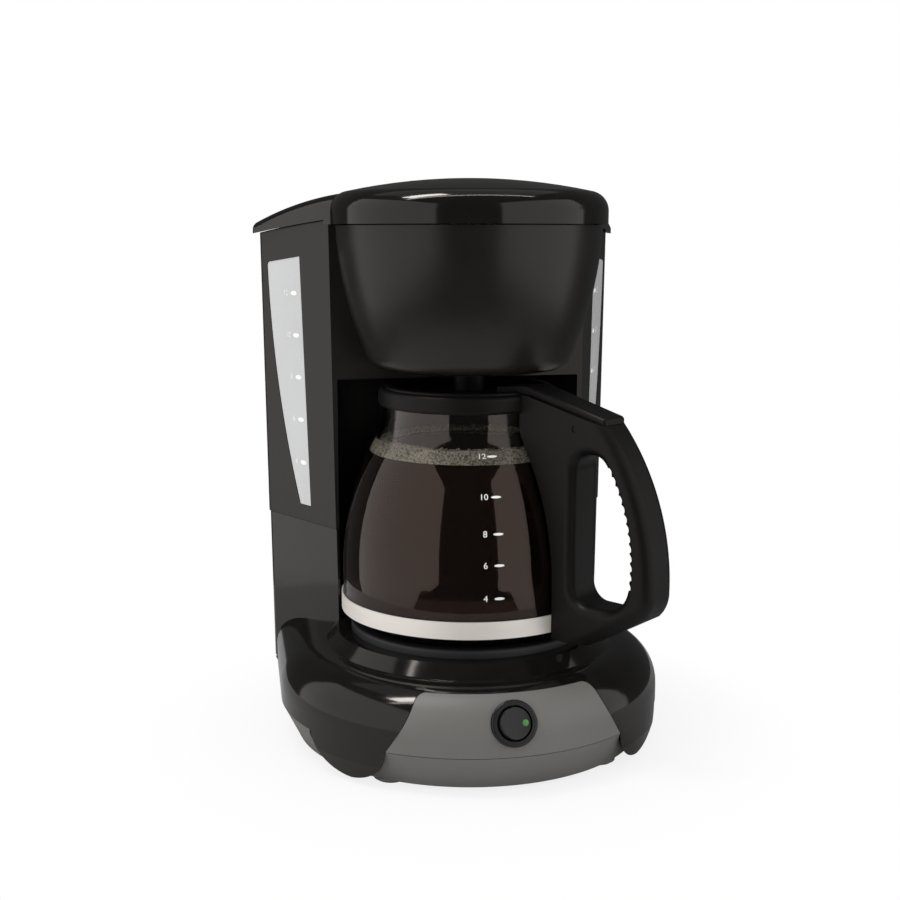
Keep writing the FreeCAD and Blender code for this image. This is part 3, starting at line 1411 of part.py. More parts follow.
fan = fan_block("fan", lid_low - FAN_DEEP / 2, 0)
round_edges(fan, dim.lid_edge_round,
            lambda edge: on_dome(middle_of(edge)) and on_dome(edge.Vertexes[0].Point)
            and middle_of(edge).y > fan_start.value + 1)
rim_front = dim.tower_front_y - dim.upper_step - dim.lid_gap
lobe_clear = box("lobe_clear", (-DEPTH, -DEPTH, lid_low - FAN_DEEP), (DEPTH, rim_front, lid_low))
fan_clear = new_body("fan_clear")
arch_top = dim.arch_apex_z + dim.lid_gap
arch_half = dim.lid_tip_half + 10
arch_spring = arch_top - dim.arch_radius + root(dim.arch_radius * dim.arch_radius - arch_half * arch_half)
CUT_OVERLAP = 0.01
pad(fan_clear, draw(fan_clear, "XZ_Plane", [
    (-arch_half, lid_low - FAN_DEEP), (arch_half, lid_low - FAN_DEEP),
    (arch_half, arch_spring, dim.arch_radius), (-arch_half, arch_spring)],
    lift=CUT_OVERLAP - rim_front), DEPTH, backwards=True)
lid = fuse("lid_outside", fan, lobe_block("lobe", lid_low, 0))
lid = cut("lid_fan_hollow", lid, fan_block("fan_room", lid_low - FAN_DEEP, dim.lid_wall))
lid = cut("lid_lobe_hollow", lid, lobe_block("lobe_room", lid_low - FAN_DEEP, dim.lid_wall))
lid = cut("lid_lobe_rim", lid, lobe_clear)
lid = cut("lid_fan_rim", lid, fan_clear)
LUG_START = 6.4
LUG_TOP = 5.4
LUG_LOW = 2.4
LUG_LEAN = math.radians(40)
LUG_BACK = math.radians(60)
lug = new_body("lug")
bend = dim.knuckle_radius
lug_y = dim.hinge_y - LUG_START
for side in (-1, 1):
    pad(lug, draw(lug, "YZ_Plane", [
        (lug_y, dim.hinge_z + LUG_TOP), (lug_y, dim.hinge_z + LUG_LOW),
        (dim.hinge_y - bend * math.cos(LUG_LEAN), dim.hinge_z + bend * math.sin(LUG_LEAN), bend),
        (dim.hinge_y, dim.hinge_z - bend, bend), (dim.hinge_y + bend, dim.hinge_z, bend),
        (dim.hinge_y + bend * math.cos(LUG_BACK), dim.hinge_z + bend * math.sin(LUG_BACK))],
        lift=side * dim.knuckle_x - dim.knuckle_half), 2 * dim.knuckle_half)
pin_bore = (dim.hinge_y, dim.hinge_z, dim.hinge_pin_radius + dim.hinge_pin_fit)
pocket(lug, draw_circles(lug, "YZ_Plane", [pin_bore]), 2 * DEPTH, both_ways=True)
keep(fuse("lid_with_lugs", lid, lug), "lid")

pin_long = 2 * (dim.knuckle_half + dim.hinge_side_gap + ear_thick)
pins = []
for side in (-1, 1):
    pin = cylinder(f"hinge_pin_{side + 1}", dim.hinge_pin_radius, pin_long,
                   side * dim.knuckle_x - pin_long / 2, dim.hinge_y, dim.hinge_z)
    pin.Placement.Rotation = FreeCAD.Rotation(FreeCAD.Vector(0, 1, 0), 90)
    pins.append(pin)
keep(compound("hinge_pins", pins), "lid_hinge_pins")

# Carafe: blown glass jug, steel band, collar, moulded handle and the lid with its thumb lever

shoulder_x = dim.glass_radius - dim.glass_shoulder_radius
both_bends = dim.glass_shoulder_radius + dim.glass_neck_bend
neck_x = shoulder_x + both_bends * cosine(dim.glass_slope)
neck_z = dim.glass_side_top_z + both_bends * sine(dim.glass_slope)
neck_radius = neck_x - dim.glass_neck_bend


def glass_side(grow):
    """Half section of the jug's side from its widest part up to the neck, grown outwards."""
    shoulder = dim.glass_shoulder_radius + grow
    turn_x = shoulder_x + shoulder * cosine(dim.glass_slope)
    turn_z = dim.glass_side_top_z + shoulder * sine(dim.glass_slope)
    return [(dim.glass_radius + grow, dim.glass_side_top_z, shoulder),
            (turn_x, turn_z, grow - dim.glass_neck_bend), (neck_radius + grow, neck_z)]


def back_down(points):
    """The same runs walked the other way."""
    bends = [point[2:] for point in points[:-1]][::-1] + [()]
    return [(x, z, *(-bend for bend in bends[n])) for n, (x, z, *_) in enumerate(points[::-1])]


foot_bend = dim.glass_radius - dim.glass_foot_radius
inner = -dim.glass_wall
glass = new_body("jug")
turn(glass, draw(glass, "XZ_Plane", [
    (0, dim.glass_low_z), (dim.glass_foot_radius, dim.glass_low_z, foot_bend),
    (dim.glass_radius, dim.glass_side_low_z), *glass_side(0),
    (neck_radius, dim.glass_rim_z), (neck_radius + inner, dim.glass_rim_z), *back_down(glass_side(inner)),
    (dim.glass_radius + inner, dim.glass_side_low_z, -foot_bend - inner),
    (dim.glass_foot_radius, dim.glass_low_z + dim.glass_wall), (0, dim.glass_low_z + dim.glass_wall)]))
keep(glass, "carafe_glass")


def face_handle(thing, label):
    """Turns a carafe piece drawn towards +X round to the side where the handle is."""
    thing.Placement.Rotation = FreeCAD.Rotation(FreeCAD.Vector(0, 0, 1), dim.handle_turn.value)
    return keep(thing, label)


TAB_WIDE = 5.0
TAB_LOW = 76.0
TAB_THICK = 2.0
TAB_ROOT = 0.4
HANDLE_SCREW_RADIUS = 1.6
TAB_HOLE_PLAY = 0.2
band_inner = dim.glass_radius + dim.band_gap
band_outer = band_inner + dim.band_thick
band = new_body("band")
turn(band, draw(band, "XZ_Plane", [
    (band_inner, dim.band_low_z), (band_outer, dim.band_low_z),
    (band_outer, dim.band_top_z), (band_inner, dim.band_top_z)]))
pad(band, draw(band, "XY_Plane", [
    (band_outer - TAB_ROOT, -TAB_WIDE), (dim.tab_reach, -TAB_WIDE),
    (dim.tab_reach, TAB_WIDE), (band_outer - TAB_ROOT, TAB_WIDE)], lift=TAB_LOW), TAB_THICK)
tab_hole = (dim.screw_reach, 0, HANDLE_SCREW_RADIUS + TAB_HOLE_PLAY)
pocket(band, draw_circles(band, "XY_Plane", [tab_hole], lift=TAB_LOW + TAB_THICK), TAB_THICK)
face_handle(band, "carafe_band")

RIM_PLAY = 0.3
COLLAR_ROUND = 1.8
COLLAR_CROWN = 2.6
SPOUT_HALF = 16.0
SPOUT_END_HALF = 3.0
SPOUT_WALL = 4.0
SPOUT_END_WALL = 1.5
SPOUT_THICK = 4.4
SPOUT_DEEP = 2.4
lid_seat = dim.carafe_lid_radius + RIM_PLAY
collar_inner = neck_radius + dim.collar_gap
collar = new_body("collar")
turn(collar, draw(collar, "XZ_Plane", [
    (collar_inner, dim.collar_low_z), (dim.collar_radius - COLLAR_ROUND, dim.collar_low_z, COLLAR_ROUND),
    (dim.collar_radius, dim.collar_low_z + COLLAR_ROUND),
    (dim.collar_radius, dim.collar_top_z - COLLAR_CROWN, COLLAR_CROWN),
    (dim.collar_radius - COLLAR_CROWN, dim.collar_top_z),
    (lid_seat, dim.collar_top_z), (lid_seat, dim.glass_rim_z + RIM_PLAY),
    (collar_inner, dim.glass_rim_z + RIM_PLAY)]))
spout_root = 2 - dim.collar_radius
pad(collar, draw(collar, "XY_Plane", [
    (spout_root, SPOUT_HALF), (-dim.spout_reach, SPOUT_END_HALF),
    (-dim.spout_reach, -SPOUT_END_HALF), (spout_root, -SPOUT_HALF)],
    lift=dim.collar_top_z - SPOUT_THICK), SPOUT_THICK)
groove_root = spout_root + SPOUT_END_HALF
groove_half = SPOUT_HALF - SPOUT_WALL
groove_end_half = SPOUT_END_HALF - SPOUT_END_WALL
pocket(collar, draw(collar, "XY_Plane", [
    (groove_root, groove_half), (-dim.spout_reach - 1, groove_end_half),
    (-dim.spout_reach - 1, -groove_end_half), (groove_root, -groove_half)],
    lift=dim.collar_top_z), SPOUT_DEEP)
face_handle(collar, "carafe_collar")

LEVER_TOP_Z = 207.0
LEVER_LOW_Z = 202.4
LEVER_END_Z = 190.4
LEVER_END_THICK = 3.4
lever_fall = (LEVER_LOW_Z - LEVER_END_Z) / (dim.lever_reach - dim.lever_bend_reach)


def lever_under(reach):
    """Height of the lever's underside at a distance from the axis."""
    return LEVER_LOW_Z - (reach - dim.lever_bend_reach) * lever_fall


# Handle: a closed loop with a scalloped grip, cut to sit round the glass, band and collar

HEEL_RISE = 0.5
TOE_Z = 91.0
TOE_ROUND = 18.0
BACK_Z = 104.0
BACK_ROUND = 126.0
clear = dim.handle_gap
lever_seat = LEVER_LOW_Z - clear
handle = new_body("handle")
pad(handle, draw(handle, "XZ_Plane", [
    (dim.root_reach, dim.handle_low_z), (dim.heel_reach, dim.handle_low_z + HEEL_RISE),
    (dim.toe_reach, TOE_Z, TOE_ROUND), (dim.handle_reach, BACK_Z, BACK_ROUND),
    (dim.lever_reach + HEEL_RISE, lever_under(dim.lever_reach) - clear),
    (dim.lever_bend_reach, lever_seat), (dim.root_reach, lever_seat)]), 2 * dim.handle_half, both_ways=True)
half_wide = dim.handle_half.value


def on_cheek(point):
    """Whether a point lies on one of the handle's flat cheeks."""
    return abs(abs(point.y) - half_wide) < 0.01


round_edges(handle, dim.handle_edge_round,
            lambda edge: on_cheek(middle_of(edge)) and middle_of(edge).x > dim.outer_from.value)
HOLE_LOW_Z = 92.5
HOLE_TOP_Z = 174.0
HOLE_CORNER = 10.0
GRIP_CORNER = 16.0
GRIP_TOP_DRAW = 19.0
GRIP_LOW_DRAW = 3.3
GRIP_TOP = (dim.grip_inner - GRIP_TOP_DRAW, HOLE_TOP_Z)
GRIP_LOW = (dim.grip_inner - GRIP_LOW_DRAW, HOLE_LOW_Z)
pocket(handle, draw(handle, "XZ_Plane", [
    (dim.hole_inner, HOLE_LOW_Z), (dim.hole_inner, HOLE_TOP_Z), (*GRIP_TOP, -dim.grip_bend), GRIP_LOW]),
    4 * dim.handle_half, both_ways=True)


def in_hole(point):
    """Whether a point of the handle lies in the part of its side view that the hole takes up."""
    reach = dim.hole_inner.value - 1 < point.x < dim.grip_inner.value + 1
    return reach and HOLE_LOW_Z - 1 < point.z < HOLE_TOP_Z + 1


def hole_corner(edge):
    """Whether an edge runs through the handle, from cheek to cheek, at a corner of its hole."""
    return abs(middle_of(edge).y) < 0.01 and in_hole(middle_of(edge)) and on_cheek(edge.Vertexes[0].Point)


def low_grip(edge):
    """Whether an edge lies at the hole's lower end by the grip, which has the largest corner."""
    return middle_of(edge).x > GRIP_TOP[0].value and middle_of(edge).z < HOLE_LOW_Z + 1


round_edges(handle, GRIP_CORNER, lambda edge: hole_corner(edge) and low_grip(edge))
round_edges(handle, HOLE_CORNER, lambda edge: hole_corner(edge) and not low_grip(edge))
round_edges(handle, dim.hole_edge_round,
            lambda edge: on_cheek(middle_of(edge)) and in_hole(middle_of(edge)))
grip_span_x = GRIP_LOW[0] - GRIP_TOP[0]
grip_span_z = GRIP_LOW[1] - GRIP_TOP[1]
grip_chord = root(grip_span_x * grip_span_x + grip_span_z * grip_span_z)
grip_away = root(dim.grip_bend * dim.grip_bend - grip_chord * grip_chord / 4)
grip_x = (GRIP_TOP[0] + GRIP_LOW[0]) / 2 + grip_span_z / grip_chord * grip_away
grip_z = (GRIP_TOP[1] + GRIP_LOW[1]) / 2 - grip_span_x / grip_chord * grip_away
SCALLOP_STEP = 3.1
SCALLOP_FIRST = -1.8
SCALLOP_SUNK = 1.0
scallop_reach = dim.grip_bend + SCALLOP_SUNK
scallops = []
for n in range(int(dim.scallop_count.value)):
    swing = math.radians(SCALLOP_STEP * (n + SCALLOP_FIRST))
    scallops.append((grip_x + scallop_reach * math.cos(swing), grip_z + scallop_reach * math.sin(swing),
                     dim.scallop_radius))
pocket(handle, draw_circles(handle, "XZ_Plane", scallops), 4 * dim.handle_half, both_ways=True)
stand_off = dim.band_gap + dim.band_thick + clear
collar_room = dim.collar_radius + clear
turn_away(handle, draw(handle, "XZ_Plane", [
    (0, dim.handle_low_z - 2), (band_outer + clear, dim.handle_low_z - 2), *glass_side(stand_off),
    (neck_radius + stand_off, dim.collar_low_z - clear), (collar_room, dim.collar_low_z - clear),
    (collar_room, dim.collar_top_z + 3), (0, dim.collar_top_z + 3)]))
EAR_ROUND = 3.8
PIN_FIT = 0.05
slot_front = dim.lever_pin_reach - EAR_ROUND - clear
slot_back = dim.lever_pin_reach + EAR_ROUND + clear
slot_low = dim.lever_pin_z - EAR_ROUND - clear
pocket(handle, draw(handle, "XZ_Plane", [
    (slot_front, slot_low), (slot_back, slot_low),
    (slot_back, dim.collar_top_z), (slot_front, dim.collar_top_z)]),
    2 * (dim.lever_ear_half + clear), both_ways=True)
lever_bore = (dim.lever_pin_reach, dim.lever_pin_z, dim.lever_pin_radius + PIN_FIT)
pocket(handle, draw_circles(handle, "XZ_Plane", [lever_bore]), 4 * dim.handle_half, both_ways=True)
pocket(handle, draw(handle, "XY_Plane", [
    (band_inner, -TAB_WIDE - clear), (dim.tab_reach + clear, -TAB_WIDE - clear),
    (dim.tab_reach + clear, TAB_WIDE + clear), (band_inner, TAB_WIDE + clear)], lift=TAB_LOW - clear),
    TAB_THICK + 2 * clear, backwards=True)
HANDLE_SCREW_HEAD = 3.2
HANDLE_SCREW_LONG = 14.0
HANDLE_SCREW_SUNK = 2.4
HEAD_THICK = 1.8
THREAD_FIT = 0.1
HEAD_FIT = 0.2
shank_bore = (dim.screw_reach, 0, HANDLE_SCREW_RADIUS + THREAD_FIT)
head_bore = (dim.screw_reach, 0, HANDLE_SCREW_HEAD + HEAD_FIT)
pocket(handle, draw_circles(handle, "XY_Plane", [shank_bore], lift=dim.handle_low_z - 1),
       HANDLE_SCREW_LONG + 2, backwards=True)
pocket(handle, draw_circles(handle, "XY_Plane", [head_bore], lift=dim.handle_low_z - 1),
       HANDLE_SCREW_SUNK + 1, backwards=True)
face_handle(handle, "carafe_handle")

head_under = dim.handle_low_z + HANDLE_SCREW_SUNK
screw_top = dim.handle_low_z + HANDLE_SCREW_LONG
handle_screw = new_body("handle_bolt")
turn(handle_screw, draw(handle_screw, "XZ_Plane", [
    (0, head_under - HEAD_THICK), (HANDLE_SCREW_HEAD, head_under - HEAD_THICK),
    (HANDLE_SCREW_HEAD, head_under),
    (HANDLE_SCREW_RADIUS, head_under), (HANDLE_SCREW_RADIUS, screw_top), (0, screw_top)]))
keep(handle_screw, "handle_screw")
bind(handle_screw, "Placement.Base.x", dim.screw_reach * cosine(dim.handle_turn))
bind(handle_screw, "Placement.Base.y", dim.axis_y + dim.screw_reach * sine(dim.handle_turn))

# Carafe lid: a dished cover whose boss lifts the drip stop, with a lever hinged on the handle

LID_RIM_Z = 203.5
LID_DISH_Z = 200.6
LID_ROUND = 1.5
LID_RIM_WIDE = 4.0
DISH_SLOPE = 2.0
BOSS_CHAMFER = 1.0
SPILL_REACH = 15.0
SPILL_RADIUS = 2.0
SPILL_DEEP = 6.0
lid_rim = dim.carafe_lid_radius - LID_RIM_WIDE
boss = dim.carafe_lid_boss_radius
cover_low = dim.glass_rim_z + RIM_PLAY
carafe_lid = new_body("carafe_cover")
turn(carafe_lid, draw(carafe_lid, "XZ_Plane", [
    (0, cover_low), (dim.carafe_lid_radius, cover_low),
    (dim.carafe_lid_radius, LID_RIM_Z - LID_ROUND, LID_ROUND),
    (dim.carafe_lid_radius - LID_ROUND, LID_RIM_Z), (lid_rim, LID_RIM_Z), (lid_rim - DISH_SLOPE, LID_DISH_Z),
    (boss, LID_DISH_Z), (boss, dim.carafe_lid_top_z - BOSS_CHAMFER),
    (boss - BOSS_CHAMFER, dim.carafe_lid_top_z), (0, dim.carafe_lid_top_z)]))
lever_end = lever_under(dim.lever_reach)
pad(carafe_lid, draw(carafe_lid, "XZ_Plane", [
    (dim.lever_from, LID_DISH_Z - 1), (lid_rim, LID_DISH_Z - 1), (lid_rim, LEVER_LOW_Z),
    (dim.lever_bend_reach, LEVER_LOW_Z), (dim.lever_reach, lever_end),
    (dim.lever_reach, lever_end + LEVER_END_THICK),
    (dim.lever_bend_reach, LEVER_TOP_Z), (dim.lever_from, LEVER_TOP_Z - 2)]),
    1.5 * dim.handle_half, both_ways=True)
LEVER_ROUND = 2.2
half_lever = 0.75 * dim.handle_half.value


def lever_edge(edge):
    """Whether an edge lies along the lever's top, on a side or round its end."""
    spot = middle_of(edge)
    on_side = abs(abs(spot.y) - half_lever) < 0.01 and spot.x > dim.lever_bend_reach.value
    across = abs(spot.y) < 0.01 and abs(spot.x - dim.lever_reach.value) < 0.01
    return (on_side or across) and spot.z > lever_under(spot.x).value + 1


round_edges(carafe_lid, LEVER_ROUND, lever_edge)
ear_front = dim.lever_pin_reach - EAR_ROUND
ear_back = dim.lever_pin_reach + EAR_ROUND
pad(carafe_lid, draw(carafe_lid, "XZ_Plane", [
    (ear_front, dim.lever_pin_z, EAR_ROUND), (dim.lever_pin_reach, dim.lever_pin_z - EAR_ROUND, EAR_ROUND),
    (ear_back, dim.lever_pin_z), (ear_back, lever_under(ear_back) + 1),
    (ear_front, lever_under(ear_front) + 1)]),
    2 * dim.lever_ear_half, both_ways=True)
pocket(carafe_lid, draw_circles(carafe_lid, "XZ_Plane", [lever_bore]), 4 * dim.handle_half, both_ways=True)
spills = ring_of(DRAIN_COUNT, SPILL_REACH, SPILL_RADIUS)
pocket(carafe_lid, draw_circles(carafe_lid, "XY_Plane", spills, lift=LID_DISH_Z), SPILL_DEEP)
face_handle(carafe_lid, "carafe_lid")

PIN_SHORT = 1.0
lever_pin = new_body("lever_pin_rod")
pin_round = (dim.lever_pin_reach, dim.lever_pin_z, dim.lever_pin_radius)
pad(lever_pin, draw_circles(lever_pin, "XZ_Plane", [pin_round]),
    2 * dim.handle_half - PIN_SHORT, both_ways=True)
face_handle(lever_pin, "lever_pin")

# Every object is checked, then each finished sub-part is written under its own name

doc.recompute()
broken = [thing.Name for thing in doc.Objects if {"Invalid", "Error"} & set(thing.State)]
broken += [piece.Label for piece in pieces if piece.Shape.isNull() or not piece.Shape.isValid()]
if broken:
    raise RuntimeError("not sound: " + ", ".join(broken))
os.makedirs("parts", exist_ok=True)
for piece in pieces:
    piece.Shape.exportStep(f"parts/{piece.Label}.step")
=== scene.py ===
"""A drip coffee maker: its finishes and the pieces that only its looks need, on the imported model."""
import math
import random

import bpy
from mathutils import Matrix, Vector


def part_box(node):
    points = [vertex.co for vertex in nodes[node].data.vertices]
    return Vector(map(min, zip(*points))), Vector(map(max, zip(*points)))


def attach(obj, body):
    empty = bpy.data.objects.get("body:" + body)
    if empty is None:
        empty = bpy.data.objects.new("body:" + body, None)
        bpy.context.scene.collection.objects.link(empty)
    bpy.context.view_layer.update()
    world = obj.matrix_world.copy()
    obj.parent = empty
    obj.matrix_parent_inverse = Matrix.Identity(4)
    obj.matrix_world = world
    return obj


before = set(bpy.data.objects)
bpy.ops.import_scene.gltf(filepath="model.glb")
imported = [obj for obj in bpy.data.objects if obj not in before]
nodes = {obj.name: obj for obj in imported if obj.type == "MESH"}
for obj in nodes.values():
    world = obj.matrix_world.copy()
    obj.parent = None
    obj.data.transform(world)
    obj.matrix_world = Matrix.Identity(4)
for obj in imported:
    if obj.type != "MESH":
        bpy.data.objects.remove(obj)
bpy.context.view_layer.update()

# Base pan, rubber feet and screws
# The pan is a shallow grey tray moulded with a fine spark-eroded grain, screwed under the drum from
# below. Four rubber pads sit in cups under its corners, and four zinc plated screws hold it.
MM = 0.001


class Wire:
    """One value on its way through a material; sums and products of wires add Math nodes."""

    def __init__(self, tree, socket):
        self.tree = tree
        self.socket = socket

    def node(self, kind, settings=None, values=None, output=0):
        """Adds any node: its type, its settings, then the values or wires of its sockets."""
        node = self.tree.nodes.new("ShaderNode" + kind)
        settings = dict(settings or {})
        for stop, (spot, colour) in enumerate(settings.pop("stops", [])):
            ramp = node.color_ramp.elements
            step = ramp[stop] if stop < len(ramp) else ramp.new(spot)
            step.position = spot
            step.color = (*colour, 1)
        for name, value in settings.items():
            setattr(node, name, value)
        for name, value in (values or {}).items():
            plug(self.tree, node.inputs[name], value)
        return Wire(self.tree, node.outputs[output])

    def maths(self, operation, first, second):
        """Adds one Math node on two values."""
        return self.node("Math", {"operation": operation}, {0: first, 1: second})

    def __add__(self, other):
        return self.maths("ADD", self, other)

    def __radd__(self, other):
        return self.maths("ADD", other, self)

    def __sub__(self, other):
        return self.maths("SUBTRACT", self, other)

    def __rsub__(self, other):
        return self.maths("SUBTRACT", other, self)

    def __mul__(self, other):
        return self.maths("MULTIPLY", self, other)

    def __rmul__(self, other):
        return self.maths("MULTIPLY", other, self)

    def noise(self, per_metre, detail=2.0):
        """Soft noise from 0 to 1 with so many waves to the metre."""
        return self.node("TexNoise", {}, {"Vector": self, "Scale": per_metre, "Detail": detail})

    def cells(self, per_metre):
        """How far a point is from the middle of its cell, with so many cells to the metre."""
        return self.node("TexVoronoi", {}, {"Vector": self, "Scale": per_metre})

    def stretched(self, x, y, z):
        """The same place with each direction scaled, so that a pattern on it runs in streaks."""
        return self.node("Mapping", {}, {"Vector": self, "Scale": (x, y, z)})

    def ramp(self, low, high):
        """0 below the low value, 1 above the high one, and a straight rise between them."""
        return self.node("MapRange", {}, {"Value": self, "From Min": low, "From Max": high})

    def between(self, low, high):
        """A colour that goes from low to high as this value goes from 0 to 1."""
        stops = [(0.0, low), (1.0, high)]
        return self.node("ValToRGB", {"stops": stops}, {"Fac": self})

    def bumps(self, height):
        """The normal of a surface that rises by so many metres where this value is 1."""
        return self.node("Bump", {}, {"Height": self, "Distance": height})


def plug(tree, socket, value):
    """Links a wire into a socket, or sets a plain value on it."""
    if isinstance(value, Wire):
        tree.links.new(value.socket, socket)
    else:
        socket.default_value = value


class Finish:
    """One material: a principled shader, and the place on the surface that its patterns read."""

    def __init__(self, name):
        self.material = bpy.data.materials.new(name)
        self.material.use_nodes = True
        self.tree = self.material.node_tree
        self.shader = self.tree.nodes["Principled BSDF"]
        self.place = Wire(self.tree, self.tree.nodes.new("ShaderNodeTexCoord").outputs["Object"])

    def set(self, **sockets):
        """Sets or links sockets of the shader; an underscore stands for a space."""
        for name, value in sockets.items():
            plug(self.tree, self.shader.inputs[name.replace("_", " ")], value)


def coat(finish, *pieces):
    """Gives every piece the finish; a text is the name of a CAD node."""
    for piece in pieces:
        target = nodes[piece] if isinstance(piece, str) else piece
        target.data.materials.clear()
        target.data.materials.append(finish.material)


def moulded(name, low, high, rough, spread, grain, depth):
    """A moulded plastic or rubber: colour and gloss drift a little, over a fine grain."""
    finish = Finish(name)
    drift = finish.place.noise(28)
    fine = finish.place.cells(grain)
    finish.set(Base_Color=(0.7 * drift + 0.3 * fine).between(low, high),
               Roughness=rough + spread * drift, Normal=fine.bumps(depth))
    return finish


def metal(name, low, high, rough, spread, streak):
    """A metal with fine streaks from drawing or rolling; streak scales the place each way."""
    finish = Finish(name)
    lines = finish.place.stretched(*streak).noise(900)
    cloud = finish.place.noise(60)
    finish.set(Base_Color=(0.5 * lines + 0.5 * cloud).between(low, high), Metallic=1.0,
               Roughness=rough + spread * lines, Normal=lines.bumps(0.01 * MM))
    return finish


grey_moulding = moulded("grey_moulding", (0.112, 0.109, 0.102), (0.147, 0.143, 0.134),
                        0.42, 0.12, 1700, 0.02 * MM)
black_rubber = moulded("black_rubber", (0.012, 0.012, 0.012), (0.03, 0.03, 0.03), 0.7, 0.2, 1300, 0.03 * MM)
zinc_steel = metal("zinc_steel", (0.5, 0.5, 0.5), (0.66, 0.66, 0.64), 0.3, 0.15, (1, 1, 0.1))
coat(grey_moulding, "base_pan")
coat(black_rubber, "rubber_feet", "cord_grommet")
coat(zinc_steel, "base_screws", "plate_stud", "heater_bracket")

# Lower housing, upper housing and lid
# Three polished black mouldings: the drum with the tower's lower half, the tower's upper half with the
# brew head, and the cover hinged over both. The skin shows the faint waves and hairlines of use.
def polished(name, low, high, rough, spread):
    """A polished black moulding: faint waves of the mould, hairlines and a little dust."""
    finish = Finish(name)
    waves = finish.place.noise(55)
    hairlines = finish.place.stretched(1, 1, 0.06).noise(2600, 1.0)
    dust = finish.place.cells(420).ramp(0.09, 0.03) * finish.place.noise(16).ramp(0.5, 0.75)
    finish.set(Base_Color=(0.8 * waves + dust).between(low, high),
               Roughness=rough + spread * waves + 0.5 * spread * hairlines + 0.2 * dust,
               Normal=waves.bumps(0.03 * MM), Specular_Tint=(1, 0.93, 0.88, 1))
    return finish


gloss_black = polished("gloss_black", (0.0035, 0.0031, 0.0029), (0.009, 0.0082, 0.0076), 0.07, 0.05)
head_black = polished("head_black", (0.006, 0.0055, 0.0052), (0.012, 0.011, 0.0104), 0.24, 0.08)
coat(gloss_black, "lower_housing", "lid")
coat(head_black, "upper_housing")

# Front panel and switch
# The panel is a curved grey skin let into the drum's front, in the pan's grain. The switch is a round
# satin barrel snapped through it, with a rocker that carries a small lit lens.
satin_black = moulded("satin_black", (0.004, 0.0038, 0.0037), (0.008, 0.0076, 0.0074),
                      0.2, 0.1, 1500, 0.01 * MM)
coat(grey_moulding, "control_panel")
coat(satin_black, "switch_barrel", "rocker")
green_lens = Finish("green_lens")
glow = green_lens.place.noise(700)
green_lens.set(Base_Color=glow.between((0.03, 0.13, 0.03), (0.07, 0.2, 0.05)), Roughness=0.25,
               Emission_Color=glow.between((0.04, 0.3, 0.04), (0.16, 0.6, 0.12)), Emission_Strength=0.12)
coat(green_lens, "power_lens")

# Warming plate and what lies under it
# A pressed plate with a dark non-stick coat, on a silicone ring. Below it a drawn aluminium heater
# tube, its bracket and the resin bodies of the thermostat and the fuse.
plate_coat = Finish("plate_coat")
speck = plate_coat.place.noise(2400, 5.0)
rubbed = plate_coat.place.noise(70, 4.0)
plate_coat.set(Base_Color=speck.between((0.008, 0.008, 0.0085), (0.035, 0.035, 0.036)),
               Roughness=0.3 + 0.2 * speck + 0.15 * rubbed, Normal=speck.bumps(0.03 * MM))
coat(plate_coat, "warming_plate")
pale_silicone = moulded("pale_silicone", (0.5, 0.48, 0.44), (0.66, 0.64, 0.6), 0.45, 0.15, 900, 0.02 * MM)
aluminium = metal("aluminium", (0.5, 0.5, 0.51), (0.68, 0.68, 0.69), 0.34, 0.2, (1, 1, 0.05))
resin = moulded("resin", (0.42, 0.37, 0.29), (0.6, 0.55, 0.46), 0.5, 0.15, 1500, 0.02 * MM)
coat(pale_silicone, "plate_seal", "valve_seal", "inlet_pipe", "outlet_pipe")
coat(aluminium, "heating_element")
coat(resin, "thermostat", "thermal_fuse")

# Water windows and tank
# The windows are frosted clear sheets in the tower's slanting walls, before a smoke grey tank; together
# they look pale grey. Cup numbers and short ovals are printed on them in white ink.
window_sheet = Finish("window_sheet")
haze = window_sheet.place.noise(18)
frost = window_sheet.place.noise(1600, 3.0)
window_sheet.set(Base_Color=(0.8 * haze + 0.2 * frost).between((0.46, 0.465, 0.463), (0.575, 0.58, 0.578)),
                 Roughness=0.2 + 0.12 * haze + 0.06 * frost, Coat_Weight=0.3, Coat_Roughness=0.06)
smoke_tank = moulded("smoke_tank", (0.22, 0.22, 0.22), (0.34, 0.34, 0.34), 0.25, 0.2, 600, 0.02 * MM)
coat(window_sheet, "water_window_left", "water_window_right")
coat(smoke_tank, "water_tank")
INK_THICK = 0.05 * MM
CAP_SHARE = 0.7


def finish_modifier(piece, kind, **settings):
    """Adds one modifier to a piece and applies it."""
    modifier = piece.modifiers.new(kind.lower(), kind)
    for name, value in settings.items():
        setattr(modifier, name, value)
    bpy.ops.object.select_all(action="DESELECT")
    piece.select_set(True)
    bpy.context.view_layer.objects.active = piece
    bpy.ops.object.modifier_apply(modifier=modifier.name)


def stand_on(piece, place, outward, carrier):
    """Stands flat print upright at a place, facing outward, and lays it on its carrier's skin as ink."""
    side = Vector((0, 0, 1)).cross(outward)
    turn = Matrix((side, (0, 0, 1), outward)).transposed().to_4x4()
    piece.matrix_world = Matrix.Translation(place) @ turn @ piece.matrix_world
    bpy.ops.object.select_all(action="DESELECT")
    piece.select_set(True)
    bpy.context.view_layer.objects.active = piece
    bpy.ops.object.transform_apply(location=True, rotation=True, scale=True)
    finish_modifier(piece, "SHRINKWRAP", target=carrier, wrap_method="NEAREST_SURFACEPOINT",
                    wrap_mode="ABOVE_SURFACE", offset=INK_THICK)
    finish_modifier(piece, "SOLIDIFY", thickness=INK_THICK, offset=1.0)
    return piece


